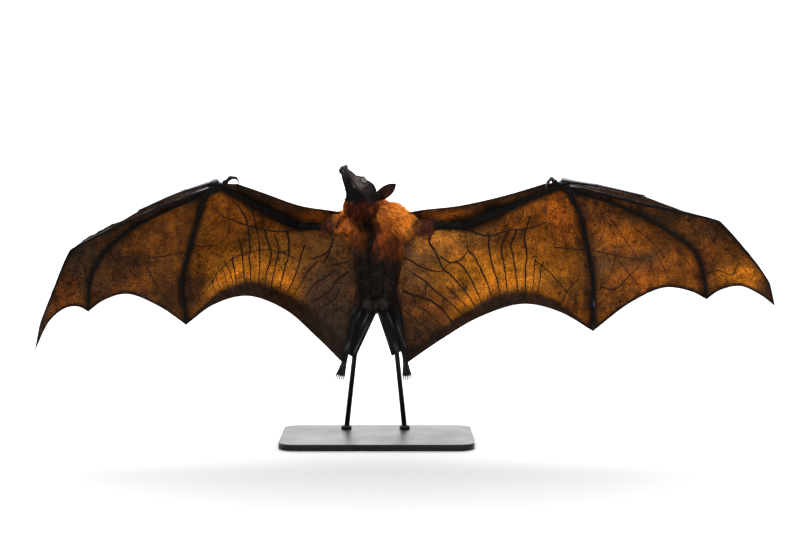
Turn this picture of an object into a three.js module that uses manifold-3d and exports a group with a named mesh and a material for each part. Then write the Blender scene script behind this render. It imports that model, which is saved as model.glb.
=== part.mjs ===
// A life-size model of a large flying fox in flight, banked belly-forward on a display stand.
// Millimetres, +Z up. The belly faces -Y, the back faces +Y, the bat's left wing is on +X.
// The origin is the centre of the stand's underside, so the base stands on Z = 0.
import * as THREE from "three";
import { mergeVertices } from "three/addons/utils/BufferGeometryUtils.js";
import Module from "manifold-3d";

const wasm = await Module();
wasm.setup();

// Clearances and wall thicknesses
const GAP = 0.35;
const MEMBRANE_THICKNESS = 0.8;
const EAR_THICKNESS = 1.4;
const FLAP_THICKNESS = 3;

// The stand
const BASE_WIDTH = 300;
const BASE_DEPTH = 200;
const BASE_HEIGHT = 10;
const BASE_CORNER = 24;
const BASE_EDGE_ROUND = 2;
const ROD_RADIUS = 4;
const ROD_SEAT = 5;
const RODS = {
  left: { foot: [44, 58, BASE_HEIGHT - ROD_SEAT], head: [20, 15, 242] },
  right: { foot: [-50, 58, BASE_HEIGHT - ROD_SEAT], head: [-23, 15, 242] },
};

// The head and trunk: one form swept from nose to crotch. Each station has the spine's place,
// the half-width from side to side, the half-depths towards back and belly, and where the back faces.
const HEAD_BACK = [0.7, 0.5, 0.51];
const TRUNK_BACK = [0, 1, 0];
const BODY_STATIONS = [
  { at: [-52, -45, 430], half: 3.2, back: 4, belly: 2.8, up: HEAD_BACK },
  { at: [-49.5, -46, 424.5], half: 6.2, back: 6.2, belly: 6, up: HEAD_BACK },
  { at: [-43, -47, 414], half: 8.8, back: 9.6, belly: 11.5, up: HEAD_BACK },
  { at: [-36, -47, 405], half: 12.8, back: 14, belly: 17.5, up: HEAD_BACK },
  { at: [-30, -46, 397], half: 18, back: 19, belly: 22, up: HEAD_BACK },
  { at: [-24, -43, 387], half: 22, back: 23, belly: 26, up: HEAD_BACK },
  { at: [-17, -37, 374], half: 31, back: 26, belly: 33, up: [0.55, 0.75, 0.35] },
  { at: [-8, -27, 359], half: 44, back: 30, belly: 32, up: [0.2, 0.97, 0.1] },
  { at: [-1, -19, 341], half: 49, back: 33, belly: 32, up: TRUNK_BACK },
  { at: [1, -15, 316], half: 43, back: 33, belly: 33, up: TRUNK_BACK },
  { at: [1, -11, 282], half: 39, back: 30, belly: 31, up: TRUNK_BACK },
  { at: [0, -5, 245], half: 33, back: 25, belly: 26, up: TRUNK_BACK },
  { at: [0, 1, 218], half: 25, back: 19, belly: 19, up: TRUNK_BACK },
  { at: [0, 5, 199], half: 8, back: 6, belly: 6, up: TRUNK_BACK },
];
const SPINE_TENSION = 0.5;
const SIZE_TENSION = 0.4;
// Where the form is parted, as fractions of the way from nose to crotch
const PARTING = 0.0012;
const HEAD_END = 0.46;
const NECK_END = 0.59;
const CHEST_END = 0.77;
// Where the head's plane of symmetry is read
const HEAD_MIDDLE_AT = 0.34;

const EYE = { at: [-19.5, -57.5, 408.5], radius: 5.6 };
// The left ear: its leaf's place, its width and cup, how deep its root is sunk, and its outline's numbers
const EAR = {
  base: [7, -45, 387],
  tip: [30, -47, 403],
  facing: [-0.25, -0.9, -0.35],
  width: 19,
  cup: 5,
  sunk: 0.25,
  bluntness: 2.4,
  rootShare: 0.72,
  swell: 0.5,
  narrowing: 0.25,
  tipHalf: 0.9,
};
const TESTES = { left: [11, -19, 217], right: [-14, -19, 217], radius: 9.4, bridge: 6.5 };

// The two arms' joints. Both wings have the same bones; the bat is caught a little askew.
const WINGS = {
  left: {
    shoulder: [26, -15, 341],
    elbow: [136, 9, 339],
    wrist: [287, -49, 405],
    thumb: [[272, -53, 407], [265, -71, 412], [259, -84, 407]],
    thumbClaw: [[259, -84, 407], [256, -91, 401], [257, -90, 394]],
    digit2: [[286, -51, 409], [341, -53, 401], [404, -53, 387]],
    digit2Claw: [[404, -53, 387], [409, -54.5, 386.5], [412, -55, 383]],
    digit3: [
      [290, -49, 401], [415, -51, 371], [525, -45, 346],
      [584, -33, 282], [607, -24, 250], [617, -15, 215],
    ],
    digit4: [
      [287, -45, 395], [361, -43, 374], [420, -35, 347],
      [490, -17, 301], [507, -7, 266], [514, -1, 223],
    ],
    digit5: [[280, -42, 391], [311, -33, 357], [327, -17, 302], [338, -1, 240], [338, 7, 172]],
    leadingEdge: [[18, -25, 345], [54, -29, 360], [128, -35, 370], [197, -45, 386], [259, -53, 405]],
    edge23: [[446, -50, 371.5]],
    edge34: [[595, -11, 231], [565, -7, 244], [534, -3, 237]],
    edge45: [[492, 7, 234], [451, 13, 240], [396, 11, 216]],
    rearEdge: [[99, 13, 157], [162, 25, 193], [230, 27, 213], [287, 19, 201]],
  },
  right: {
    shoulder: [-26, -15, 341],
    elbow: [-123, 41, 337],
    wrist: [-245, -59, 404.5],
    thumb: [[-230, -63, 406], [-220, -79, 414], [-211, -92, 414]],
    thumbClaw: [[-211, -92, 414], [-207, -99, 410], [-207, -99, 403]],
    digit2: [[-244, -61, 408], [-302, -61, 390], [-357, -61, 366]],
    digit2Claw: [[-357, -61, 366], [-361.5, -62.5, 364.5], [-364, -63, 361]],
    digit3: [
      [-248, -59, 400], [-361, -57, 355], [-468, -51, 302],
      [-501, -39, 230], [-520, -28, 187], [-530, -19, 147],
    ],
    digit4: [
      [-245, -55, 394], [-313, -49, 366], [-376, -39, 334],
      [-431, -19, 284], [-446, -9, 252], [-450, -3, 204],
    ],
    digit5: [[-238, -52, 390], [-269, -41, 364], [-288, -17, 307], [-304, 1, 245], [-299, 9, 182]],
    leadingEdge: [[-18, -25, 345], [-55, -29, 359], [-117, -39, 370], [-175, -51, 391], [-211, -61, 404]],
    edge23: [[-396, -56, 345]],
    edge34: [[-508, -13, 191], [-484, -9, 210], [-465, -7, 212]],
    edge45: [[-428, 5, 220], [-392, 13, 230], [-340, 11, 210]],
    rearEdge: [[-97, 15, 164], [-145, 29, 204], [-205, 35, 225], [-257, 27, 212]],
  },
};

// Where along its bones each field of the wing's skin starts or ends, and how far each billows back
const FIELDS = {
  front: { armEnd: 0.95, billow: -4 },
  between23: { start2: 0.3, start3: 0.1, end3: 0.5, billow: 0 },
  between34: { start: 0.12, billow: 4 },
  between45: { start: 0.05, billow: 10 },
  body: { billow: 14 },
};
// The body skin's line down the flank, between the shoulder and the hip
const FLANK = { spread: 1.6, at: [-8, 285] };

// The legs' joints, and the corners of the narrow flap of skin inside each
const LEGS = {
  left: {
    hip: [17, 3, 240],
    knee: [32, 13, 195],
    ankle: [44, -1, 128],
    toes: [47, -9, 104],
    flapCorner: [23, 5, 133],
    flapHeel: [38, 1, 141],
  },
  right: {
    hip: [-17, 3, 240],
    knee: [-34, 13, 195],
    ankle: [-50, -1, 128],
    toes: [-57, -9, 104],
    flapCorner: [-34, 5, 129],
    flapHeel: [-46, 1, 137],
  },
};
const CROTCH = [0, 5, 205];
// How far short of the ankle the flap ends, as a share of the shank
const FLAP_END = 0.12;

// Limb and finger radii, from the root to the tip of each
const RADII = {
  upperArm: [25, 13, 8.5, 8.5],
  forearm: [9.5, 9, 6.5, 4.6, 7.2],
  thumb: [3.4, 2.6, 2.6],
  thumbClaw: [2.1, 1.5, 0.5],
  digit2: [3.6, 2, 1.7],
  digit2Claw: [1.2, 0.9, 0.4],
  digit3: [3, 2.6, 2.4, 1.7, 1.3, 0.7],
  digit4: [2.9, 2.3, 2.3, 2, 1.5, 0.7],
  digit5: [3.2, 2.6, 2.8, 2.2, 0.8],
  thigh: [13, 10, 7.5],
  shank: [7, 5.5, 3.8],
  palm: [4, 5, 4.5],
  toe: [2.2, 2, 1.9],
  toeClaw: [1.3, 0.9, 0.4],
};
// The foot: its palm's bend and knuckles as shares of its length, its toes' number, spacing at
// root and tip, overlap, length and arch, and how far each claw's hook and point reach and drop
const FOOT = {
  palmBend: 0.3,
  knuckles: 0.55,
  toes: 5,
  rootSpread: 1.98,
  tipSpread: 4,
  overlap: 3,
  length: 11,
  joint: 0.55,
  arch: 1.5,
  hook: { reach: 5.5, drop: 2 },
  point: { reach: 6.5, drop: 7.5 },
};
// Directions that limbs and claws never run along, from which their sections are turned
const LIMB_REFERENCE = [0, 1, 0.2];
const CLAW_REFERENCE = [1, 0, 0];

const COLOURS = {
  fur: "#2a1812",
  mantle: "#c8752f",
  head: "#332d2c",
  membrane: "#8a5a22",
  bone: "#1c1815",
  claw: "#14110f",
  eye: "#120806",
  stand: "#20211f",
};

const vec = (place) => new THREE.Vector3(...place);

const curve = (places) => new THREE.CatmullRomCurve3(places.map(vec), false, "centripetal");

const evenCurve = (points, tension) => new THREE.CatmullRomCurve3(points, false, "catmullrom", tension);

const material = (color, roughness) => new THREE.MeshStandardMaterial({ color, roughness, metalness: 0 });

// Turns a closed geometry into a solid, right side out
function solidFrom(geometry) {
  geometry.deleteAttribute("normal");
  geometry.deleteAttribute("uv");
  const merged = mergeVertices(geometry, 1e-3);
  const vertProperties = merged.attributes.position.array;
  const triVerts = new Uint32Array(merged.index.array);
  const solid = new wasm.Manifold(new wasm.Mesh({ numProp: 3, vertProperties, triVerts }));
  if (solid.volume() > 0) return solid;
  return new wasm.Manifold(new wasm.Mesh({ numProp: 3, vertProperties, triVerts: triVerts.reverse() }));
}

// Keeps the largest body of a solid, so that a cut leaves no crumbs
function largest(solid) {
  return solid.decompose().reduce((best, part) => (part.volume() > best.volume() ? part : best));
}

// Moves every vertex of a geometry to the place that a function gives it
function remap(geometry, place) {
  const position = geometry.attributes.position;
  const point = new THREE.Vector3();
  for (let i = 0; i < position.count; i++) {
    point.fromBufferAttribute(position, i);
    position.setXYZ(i, ...place(point).toArray());
  }
  return geometry;
}

// Reads a value from evenly spaced samples by a smooth curve through them
function smooth(samples, t) {
  const points = samples.map((value, i) => new THREE.Vector3(i, value, 0));
  return evenCurve(points, SIZE_TENSION).getPoint(t).y;
}

// The body's form: its spine, and a point of its skin at an angle from the left side round by the back
const bodySpine = evenCurve(BODY_STATIONS.map((station) => vec(station.at)), SPINE_TENSION);

function bodyFrame(t) {
  const centre = bodySpine.getPoint(t);
  const tail = bodySpine.getTangent(t);
  const back = new THREE.Vector3(
    smooth(BODY_STATIONS.map((station) => station.up[0]), t),
    smooth(BODY_STATIONS.map((station) => station.up[1]), t),
    smooth(BODY_STATIONS.map((station) => station.up[2]), t),
  );
  back.addScaledVector(tail, -back.dot(tail)).normalize();
  const side = new THREE.Vector3().crossVectors(tail, back);
  return { centre, tail, back, side };
}

function bodyPoint(t, angle, share, grow) {
  const { centre, back, side } = bodyFrame(t);
  const across = Math.cos(angle);
  const along = Math.sin(angle);
  const half = smooth(BODY_STATIONS.map((station) => station.half), t) + grow;
  const depth = smooth(BODY_STATIONS.map((station) => (along > 0 ? station.back : station.belly)), t) + grow;
  return centre.addScaledVector(side, across * half * share).addScaledVector(back, along * depth * share);
}

// One length of the body between two fractions of the spine
function bodyLength(start, end, around, steps, grow = 0) {
  const geometry = new THREE.CylinderGeometry(1, 1, 1, around, steps);
  return solidFrom(
    remap(geometry, ({ x, y, z }) => {
      const t = start + (end - start) * (0.5 - y);
      return bodyPoint(t, Math.atan2(z, x), Math.hypot(x, z), grow);
    }),
  );
}

// A round limb along a curve, with its radius read from samples; growing it also lengthens it
function limb(places, radii, sides, steps, grow = 0, reference = vec(LIMB_REFERENCE)) {
  const line = curve(places);
  const geometry = new THREE.CylinderGeometry(1, 1, 1, sides, steps);
  return solidFrom(
    remap(geometry, ({ x, y, z }) => {
      const t = 0.5 - y;
      const centre = line.getPointAt(t);
      const tangent = line.getTangentAt(t);
      const side = new THREE.Vector3().crossVectors(tangent, reference).normalize();
      const back = new THREE.Vector3().crossVectors(side, tangent);
      const radius = smooth(radii, t) + grow;
      const lengthen = t === 0 ? -grow : t === 1 ? grow : 0;
      return centre
        .addScaledVector(tangent, lengthen)
        .addScaledVector(side, x * radius)
        .addScaledVector(back, z * radius);
    }),
  );
}

// A line through joints that bends sharply at each, read by its length
function bones(places) {
  const path = new THREE.CurvePath();
  places.slice(1).forEach((place, i) => path.add(new THREE.LineCurve3(vec(places[i]), vec(place))));
  return path;
}

// Splits the quads of a thin box's underside along the same diagonals as those above them,
// so that the two faces of a warped sheet never pass through each other
function matchDiagonals(geometry) {
  const index = geometry.index.array;
  const { start, count } = geometry.groups[geometry.groups.length - 1];
  for (let i = start; i < start + count; i += 6) {
    const [a, b, d, , c] = index.slice(i, i + 6);
    index.set([a, b, c, a, c, d], i);
  }
  return geometry;
}

// A thin sheet of skin filled in between four edges that meet at its corners.
// The root and tip run with u, the two sides run with v, and the middle billows towards the back.
function sheet({ root, tip, near, far }, billow, thickness, columns, rows) {
  const corner = (edge, end) => edge.getPointAt(end);
  const surface = (u, v) => {
    const rail = near.getPointAt(v).multiplyScalar(1 - u).addScaledVector(far.getPointAt(v), u);
    const cross = root.getPointAt(u).multiplyScalar(1 - v).addScaledVector(tip.getPointAt(u), v);
    const corners = corner(near, 0).multiplyScalar((1 - u) * (1 - v))
      .addScaledVector(corner(far, 0), u * (1 - v))
      .addScaledVector(corner(near, 1), (1 - u) * v)
      .addScaledVector(corner(far, 1), u * v);
    const fill = Math.sin(Math.PI * u) * Math.sin(Math.PI * v);
    return rail.add(cross).sub(corners).add(new THREE.Vector3(0, billow * fill, 0));
  };
  const step = 1e-3;
  const clamp = (value) => Math.min(1, Math.max(0, value));
  const normal = (u, v) => {
    const alongU = surface(clamp(u + step), v).sub(surface(clamp(u - step), v));
    const alongV = surface(u, clamp(v + step)).sub(surface(u, clamp(v - step)));
    return alongU.cross(alongV).normalize();
  };
  const geometry = matchDiagonals(new THREE.BoxGeometry(1, 1, 1, columns, rows, 1));
  return solidFrom(
    remap(geometry, ({ x, y, z }) => {
      const u = clamp(x + 0.5);
      const v = clamp(y + 0.5);
      return surface(u, v).addScaledVector(normal(u, v), z * thickness);
    }),
  );
}

// Every named piece: its solid, a copy grown by the gap that its neighbours are cut back by, and its finish
const pieces = new Map();

function addPiece(name, solid, grown, finish) {
  pieces.set(name, { solid, grown, finish });
}

function addLimb(name, places, radii, sides, steps, finish) {
  addPiece(name, limb(places, radii, sides, steps), limb(places, radii, sides, steps, GAP), finish);
}

function addToeClaw(name, places, finish) {
  const claw = (grow) => limb(places, RADII.toeClaw, 4, 3, grow, vec(CLAW_REFERENCE));
  addPiece(name, claw(0), claw(GAP), finish);
}

function cutBack(name, ...neighbours) {
  const piece = pieces.get(name);
  neighbours.forEach((neighbour) => {
    piece.solid = piece.solid.subtract(pieces.get(neighbour).grown);
  });
  piece.solid = largest(piece.solid);
}

// Head, neck, chest and belly
function makeBody() {
  const lengths = [
    ["head", 0, HEAD_END, 16, 10, COLOURS.head],
    ["neck", HEAD_END + PARTING, NECK_END, 16, 3, COLOURS.mantle],
    ["chest", NECK_END + PARTING, CHEST_END, 16, 4, COLOURS.mantle],
    ["belly", CHEST_END + PARTING, 1, 16, 6, COLOURS.fur],
  ];
  lengths.forEach(([name, start, end, around, steps, colour]) => {
    const longer = bodyLength(Math.max(0, start - PARTING), Math.min(1, end + PARTING), around, steps, GAP);
    addPiece(name, bodyLength(start, end, around, steps), longer, material(colour, 0.9));
  });
}

// The head's own plane of symmetry, and the place or direction on its other side
const HEAD_MIDDLE = bodyFrame(HEAD_MIDDLE_AT);

function mirroredDirection(direction) {
  return direction.clone().addScaledVector(HEAD_MIDDLE.side, -2 * direction.dot(HEAD_MIDDLE.side));
}

function mirroredPlace(place) {
  return mirroredDirection(place.clone().sub(HEAD_MIDDLE.centre)).add(HEAD_MIDDLE.centre);
}

function makeEye(name, centre) {
  const ball = (radius) => solidFrom(new THREE.SphereGeometry(radius, 10, 6).translate(...centre.toArray()));
  addPiece(name, ball(EYE.radius), ball(EYE.radius + GAP), material(COLOURS.eye, 0.1));
  cutBack("head", name);
}

// An ear is a pointed leaf curled into a cup that opens the way it faces
function makeEar(name, base, tip, facing) {
  const length = tip.clone().sub(base);
  const across = new THREE.Vector3().crossVectors(length, facing).normalize();
  const opening = new THREE.Vector3().crossVectors(across, length).normalize();
  const geometry = matchDiagonals(new THREE.BoxGeometry(1, 1, 1, 4, 6, 1));
  const leaf = remap(geometry, ({ x, y, z }) => {
    const v = y + 0.5;
    const belly = EAR.rootShare + EAR.swell * v - EAR.narrowing * v * v;
    const outline = Math.sqrt(Math.max(0, 1 - v ** EAR.bluntness)) * belly;
    const half = Math.max(EAR.tipHalf, (EAR.width / 2) * outline);
    const curl = x * x * 4 * EAR.cup * outline;
    return base.clone()
      .addScaledVector(length, v * (1 + EAR.sunk) - EAR.sunk)
      .addScaledVector(across, x * 2 * half)
      .addScaledVector(opening, curl - EAR.cup + z * EAR_THICKNESS);
  });
  addPiece(name, solidFrom(leaf), null, material(COLOURS.head, 0.8));
  cutBack(name, "head", "neck");
}

function makeTestes() {
  const ball = (place, radius) => new THREE.SphereGeometry(radius, 7, 4).translate(...place);
  const left = vec(TESTES.left);
  const right = vec(TESTES.right);
  const middle = left.clone().add(right).multiplyScalar(0.5).toArray();
  const pair = solidFrom(ball(TESTES.left, TESTES.radius))
    .add(solidFrom(ball(TESTES.right, TESTES.radius)))
    .add(solidFrom(ball(middle, TESTES.bridge)));
  addPiece("testes", pair, null, material(COLOURS.fur, 0.5));
  cutBack("testes", "belly");
}

// Arm and finger bones of one wing, each cut back by the one it grows from
function makeArm(side) {
  const joints = WINGS[side];
  const bone = material(COLOURS.bone, 0.6);
  const claw = material(COLOURS.claw, 0.3);
  addLimb(`upper_arm_${side}`, [joints.shoulder, joints.elbow], RADII.upperArm, 8, 4, bone);
  addLimb(`forearm_${side}`, [joints.elbow, joints.wrist], RADII.forearm, 8, 5, bone);
  addLimb(`digit2_${side}`, joints.digit2, RADII.digit2, 6, 4, bone);
  addLimb(`digit3_${side}`, joints.digit3, RADII.digit3, 6, 9, bone);
  addLimb(`digit4_${side}`, joints.digit4, RADII.digit4, 6, 8, bone);
  addLimb(`digit5_${side}`, joints.digit5, RADII.digit5, 6, 6, bone);
  addLimb(`thumb_${side}`, joints.thumb, RADII.thumb, 6, 3, bone);
  addLimb(`thumb_claw_${side}`, joints.thumbClaw, RADII.thumbClaw, 5, 3, claw);
  addLimb(`digit2_claw_${side}`, joints.digit2Claw, RADII.digit2Claw, 5, 2, claw);
  cutBack(`upper_arm_${side}`, "chest", "neck");
  cutBack(`forearm_${side}`, `upper_arm_${side}`);
  cutBack(`digit3_${side}`, `forearm_${side}`);
  cutBack(`digit2_${side}`, `forearm_${side}`, `digit3_${side}`);
  cutBack(`digit4_${side}`, `forearm_${side}`, `digit3_${side}`);
  cutBack(`digit5_${side}`, `forearm_${side}`, `digit4_${side}`);
  cutBack(`thumb_${side}`, `forearm_${side}`, `digit2_${side}`, `digit3_${side}`);
  cutBack(`thumb_claw_${side}`, `thumb_${side}`);
  cutBack(`digit2_claw_${side}`, `digit2_${side}`);
}

// One leg: thigh, shank and a foot of five toes, each toe with its hooked claw
function makeLeg(side) {
  const joints = LEGS[side];
  const skin = material(COLOURS.bone, 0.6);
  addLimb(`thigh_${side}`, [joints.hip, joints.knee], RADII.thigh, 8, 3, skin);
  addLimb(`shank_${side}`, [joints.knee, joints.ankle], RADII.shank, 8, 3, skin);
  cutBack(`thigh_${side}`, "belly");
  cutBack(`shank_${side}`, `thigh_${side}`, "belly");
  makeFoot(side, vec(joints.ankle), vec(joints.toes));
}

function makeFoot(side, ankle, toes) {
  const reach = toes.clone().sub(ankle).normalize();
  const across = new THREE.Vector3(1, 0, 0).addScaledVector(reach, -reach.x).normalize();
  const sole = new THREE.Vector3().crossVectors(across, reach).normalize();
  if (sole.y > 0) sole.negate();
  const knuckles = ankle.clone().lerp(toes, FOOT.knuckles);
  const palm = [ankle, ankle.clone().lerp(toes, FOOT.palmBend), knuckles].map((place) => place.toArray());
  let foot = limb(palm, RADII.palm, 6, 2);
  let grown = limb(palm, RADII.palm, 6, 2, GAP);
  const claws = [];
  const from = (place, sideways, onward, down) => {
    return place.clone()
      .addScaledVector(across, sideways)
      .addScaledVector(reach, onward)
      .addScaledVector(sole, down);
  };
  for (let i = 0; i < FOOT.toes; i++) {
    const fan = i - (FOOT.toes - 1) / 2;
    const start = from(knuckles, fan * FOOT.rootSpread, -FOOT.overlap, 0);
    const end = from(knuckles, fan * FOOT.tipSpread, FOOT.length, 0);
    const middle = start.clone().lerp(end, FOOT.joint).addScaledVector(sole, -FOOT.arch);
    const toe = [start, middle, end].map((place) => place.toArray());
    foot = foot.add(limb(toe, RADII.toe, 4, 1));
    grown = grown.add(limb(toe, RADII.toe, 4, 1, GAP));
    const hook = from(end, 0, FOOT.hook.reach, FOOT.hook.drop);
    const point = from(end, 0, FOOT.point.reach, FOOT.point.drop);
    claws.push([end, hook, point].map((place) => place.toArray()));
  }
  addPiece(`foot_${side}`, foot, grown, material(COLOURS.bone, 0.6));
  cutBack(`foot_${side}`, `shank_${side}`);
  claws.forEach((claw, i) => {
    addToeClaw(`toe_claw_${side}_${i + 1}`, claw, material(COLOURS.claw, 0.3));
    cutBack(`toe_claw_${side}_${i + 1}`, `foot_${side}`);
  });
}

// The skin of one wing, in the fields that the fingers divide it into
function makeMembranes(side) {
  const joints = WINGS[side];
  const leg = LEGS[side];
  const skin = material(COLOURS.membrane, 0.5);
  const tipOf = (digit) => digit[digit.length - 1];
  const between = (a, share, b, otherShare) => {
    return bones([a.getPointAt(share).toArray(), b.getPointAt(otherShare).toArray()]);
  };
  const part = (line, start, end, steps) => {
    const share = (i) => start + ((end - start) * i) / steps;
    const places = Array.from({ length: steps + 1 }, (_, i) => line.getPointAt(share(i)).toArray());
    return curve(places);
  };
  const digits = [2, 3, 4, 5].reduce((all, n) => ({ ...all, [n]: curve(joints[`digit${n}`]) }), {});
  const addSheet = (name, edges, billow, columns, rows, ...neighbours) => {
    addPiece(name, sheet(edges, billow, MEMBRANE_THICKNESS, columns, rows), null, skin);
    cutBack(name, ...neighbours);
  };
  const own = (name) => `${name}_${side}`;

  const arm = bones([joints.shoulder, joints.elbow, joints.wrist]);
  const frontEdge = curve(joints.leadingEdge);
  const field23 = FIELDS.between23;
  const digit3Corner = digits[3].getPointAt(field23.end3).toArray();
  addSheet(
    own("front_membrane"),
    {
      root: part(arm, 0, FIELDS.front.armEnd, 20),
      tip: frontEdge,
      near: bones([joints.shoulder, joints.leadingEdge[0]]),
      far: between(arm, FIELDS.front.armEnd, frontEdge, 1),
    },
    FIELDS.front.billow, 10, 2,
    "chest", "neck", own("upper_arm"), own("forearm"), own("thumb"),
  );
  addSheet(
    own("membrane_2_3"),
    {
      root: between(digits[2], field23.start2, digits[3], field23.start3),
      tip: curve([tipOf(joints.digit2), ...joints.edge23, digit3Corner]),
      near: part(digits[2], field23.start2, 1, 8),
      far: part(digits[3], field23.start3, field23.end3, 16),
    },
    field23.billow, 1, 6,
    own("digit2"), own("digit3"), own("digit2_claw"),
  );
  addSheet(
    own("membrane_3_4"),
    {
      root: between(digits[3], FIELDS.between34.start, digits[4], FIELDS.between34.start),
      tip: curve([tipOf(joints.digit3), ...joints.edge34, tipOf(joints.digit4)]),
      near: part(digits[3], FIELDS.between34.start, 1, 16),
      far: part(digits[4], FIELDS.between34.start, 1, 16),
    },
    FIELDS.between34.billow, 4, 7,
    own("digit3"), own("digit4"),
  );
  addSheet(
    own("membrane_4_5"),
    {
      root: between(digits[4], FIELDS.between45.start, digits[5], FIELDS.between45.start),
      tip: curve([tipOf(joints.digit4), ...joints.edge45, tipOf(joints.digit5)]),
      near: part(digits[4], FIELDS.between45.start, 1, 16),
      far: part(digits[5], FIELDS.between45.start, 1, 16),
    },
    FIELDS.between45.billow, 5, 6,
    own("digit4"), own("digit5"), own("forearm"), own("digit3"),
  );
  const flankPlace = [leg.hip[0] * FLANK.spread, ...FLANK.at];
  const flank = curve([joints.shoulder, flankPlace, leg.hip, leg.knee, leg.ankle]);
  addSheet(
    own("body_membrane"),
    {
      root: bones([joints.shoulder, joints.elbow, joints.digit5[0]]),
      tip: curve([leg.ankle, ...joints.rearEdge, tipOf(joints.digit5)]),
      near: flank,
      far: digits[5],
    },
    FIELDS.body.billow, 9, 6,
    "chest", "belly", "neck", own("upper_arm"), own("forearm"),
    own("digit5"), own("digit4"), own("thigh"), own("shank"), own("foot"),
  );
}

// The narrow flap of skin down the inside of each leg; there is no tail
function makeFlap(side) {
  const joints = LEGS[side];
  const aboveAnkle = vec(joints.ankle).lerp(vec(joints.knee), FLAP_END).toArray();
  const edges = {
    root: bones([joints.hip, CROTCH]),
    tip: bones([aboveAnkle, joints.flapHeel, joints.flapCorner]),
    near: bones([joints.hip, joints.knee, aboveAnkle]),
    far: bones([CROTCH, joints.flapCorner]),
  };
  addPiece(`leg_flap_${side}`, sheet(edges, 0, FLAP_THICKNESS, 2, 4), null, material(COLOURS.fur, 0.7));
  cutBack(`leg_flap_${side}`, "belly", `thigh_${side}`, `shank_${side}`, `foot_${side}`);
}

// A straight round bar between two places
function bar(foot, head, radius, extra = 0) {
  const start = vec(foot);
  const end = vec(head);
  const direction = end.clone().sub(start).normalize();
  start.addScaledVector(direction, -extra);
  end.addScaledVector(direction, extra);
  const geometry = new THREE.CylinderGeometry(radius, radius, start.distanceTo(end), 10);
  const turn = new THREE.Quaternion().setFromUnitVectors(new THREE.Vector3(0, 1, 0), direction);
  const middle = start.clone().lerp(end, 0.5);
  return solidFrom(geometry.applyQuaternion(turn).translate(...middle.toArray()));
}

// The stand: a flat base with rounded corners and two rods that plug into the bat's lower back
function makeStand() {
  const width = BASE_WIDTH / 2 - BASE_CORNER - BASE_EDGE_ROUND;
  const depth = BASE_DEPTH / 2 - BASE_CORNER - BASE_EDGE_ROUND;
  const outline = new THREE.Shape();
  outline.absarc(width, depth, BASE_CORNER, 0, Math.PI / 2);
  outline.absarc(-width, depth, BASE_CORNER, Math.PI / 2, Math.PI);
  outline.absarc(-width, -depth, BASE_CORNER, Math.PI, Math.PI * 1.5);
  outline.absarc(width, -depth, BASE_CORNER, Math.PI * 1.5, Math.PI * 2);
  const geometry = new THREE.ExtrudeGeometry(outline, {
    depth: BASE_HEIGHT - 2 * BASE_EDGE_ROUND,
    bevelThickness: BASE_EDGE_ROUND,
    bevelSize: BASE_EDGE_ROUND,
    bevelSegments: 1,
    curveSegments: 3,
  });
  geometry.translate(0, 0, BASE_EDGE_ROUND);
  const finish = material(COLOURS.stand, 0.4);
  addPiece("stand_base", solidFrom(geometry), null, finish);
  Object.entries(RODS).forEach(([side, { foot, head }]) => {
    const name = `stand_rod_${side}`;
    addPiece(name, bar(foot, head, ROD_RADIUS), bar(foot, head, ROD_RADIUS + GAP, GAP), finish);
    cutBack("stand_base", name);
    cutBack("belly", name);
    cutBack(`thigh_${side}`, name);
  });
}

function meshOf(name, { solid, finish }) {
  const { vertProperties, triVerts } = solid.getMesh();
  const geometry = new THREE.BufferGeometry();
  geometry.setAttribute("position", new THREE.BufferAttribute(vertProperties, 3));
  geometry.setIndex(new THREE.BufferAttribute(triVerts, 1));
  geometry.computeVertexNormals();
  const mesh = new THREE.Mesh(geometry, finish);
  mesh.name = name;
  return mesh;
}

makeBody();
makeEye("eye_left", vec(EYE.at));
makeEye("eye_right", mirroredPlace(vec(EYE.at)));
makeEar("ear_left", vec(EAR.base), vec(EAR.tip), vec(EAR.facing));
makeEar(
  "ear_right",
  mirroredPlace(vec(EAR.base)),
  mirroredPlace(vec(EAR.tip)),
  mirroredDirection(vec(EAR.facing)),
);
makeTestes();
["left", "right"].forEach((side) => {
  makeArm(side);
  makeLeg(side);
  makeMembranes(side);
  makeFlap(side);
});
makeStand();

const flyingFox = new THREE.Group();
pieces.forEach((piece, name) => flyingFox.add(meshOf(name, piece)));

export default flyingFox;
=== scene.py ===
import math

import bpy
import numpy as np
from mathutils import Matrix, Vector
from mathutils.bvhtree import BVHTree
from mathutils.kdtree import KDTree


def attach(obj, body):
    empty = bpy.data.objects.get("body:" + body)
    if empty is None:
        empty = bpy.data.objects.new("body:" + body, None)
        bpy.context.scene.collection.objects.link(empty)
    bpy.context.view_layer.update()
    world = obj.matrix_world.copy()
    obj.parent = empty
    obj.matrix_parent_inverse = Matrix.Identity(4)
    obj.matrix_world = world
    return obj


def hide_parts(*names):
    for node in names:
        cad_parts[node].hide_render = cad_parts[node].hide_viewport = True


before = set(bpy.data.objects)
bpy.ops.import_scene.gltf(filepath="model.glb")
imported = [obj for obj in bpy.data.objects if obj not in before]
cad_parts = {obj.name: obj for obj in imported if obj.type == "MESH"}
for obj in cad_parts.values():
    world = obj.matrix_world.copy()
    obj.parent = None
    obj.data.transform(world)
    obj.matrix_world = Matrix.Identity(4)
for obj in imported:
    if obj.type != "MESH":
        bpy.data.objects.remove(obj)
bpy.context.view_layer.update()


# ---- Display stand ----
# A flat steel base with rounded corners and two steel rods, powder coated satin black.
# The rods stand in drilled seats with a turned collar round each, and plug into the bat's lower back.
MM = 0.001
BASE_WIDTH = 300 * MM
BASE_DEPTH = 200 * MM
BASE_HEIGHT = 10 * MM
BASE_CORNER = 26 * MM
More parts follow.
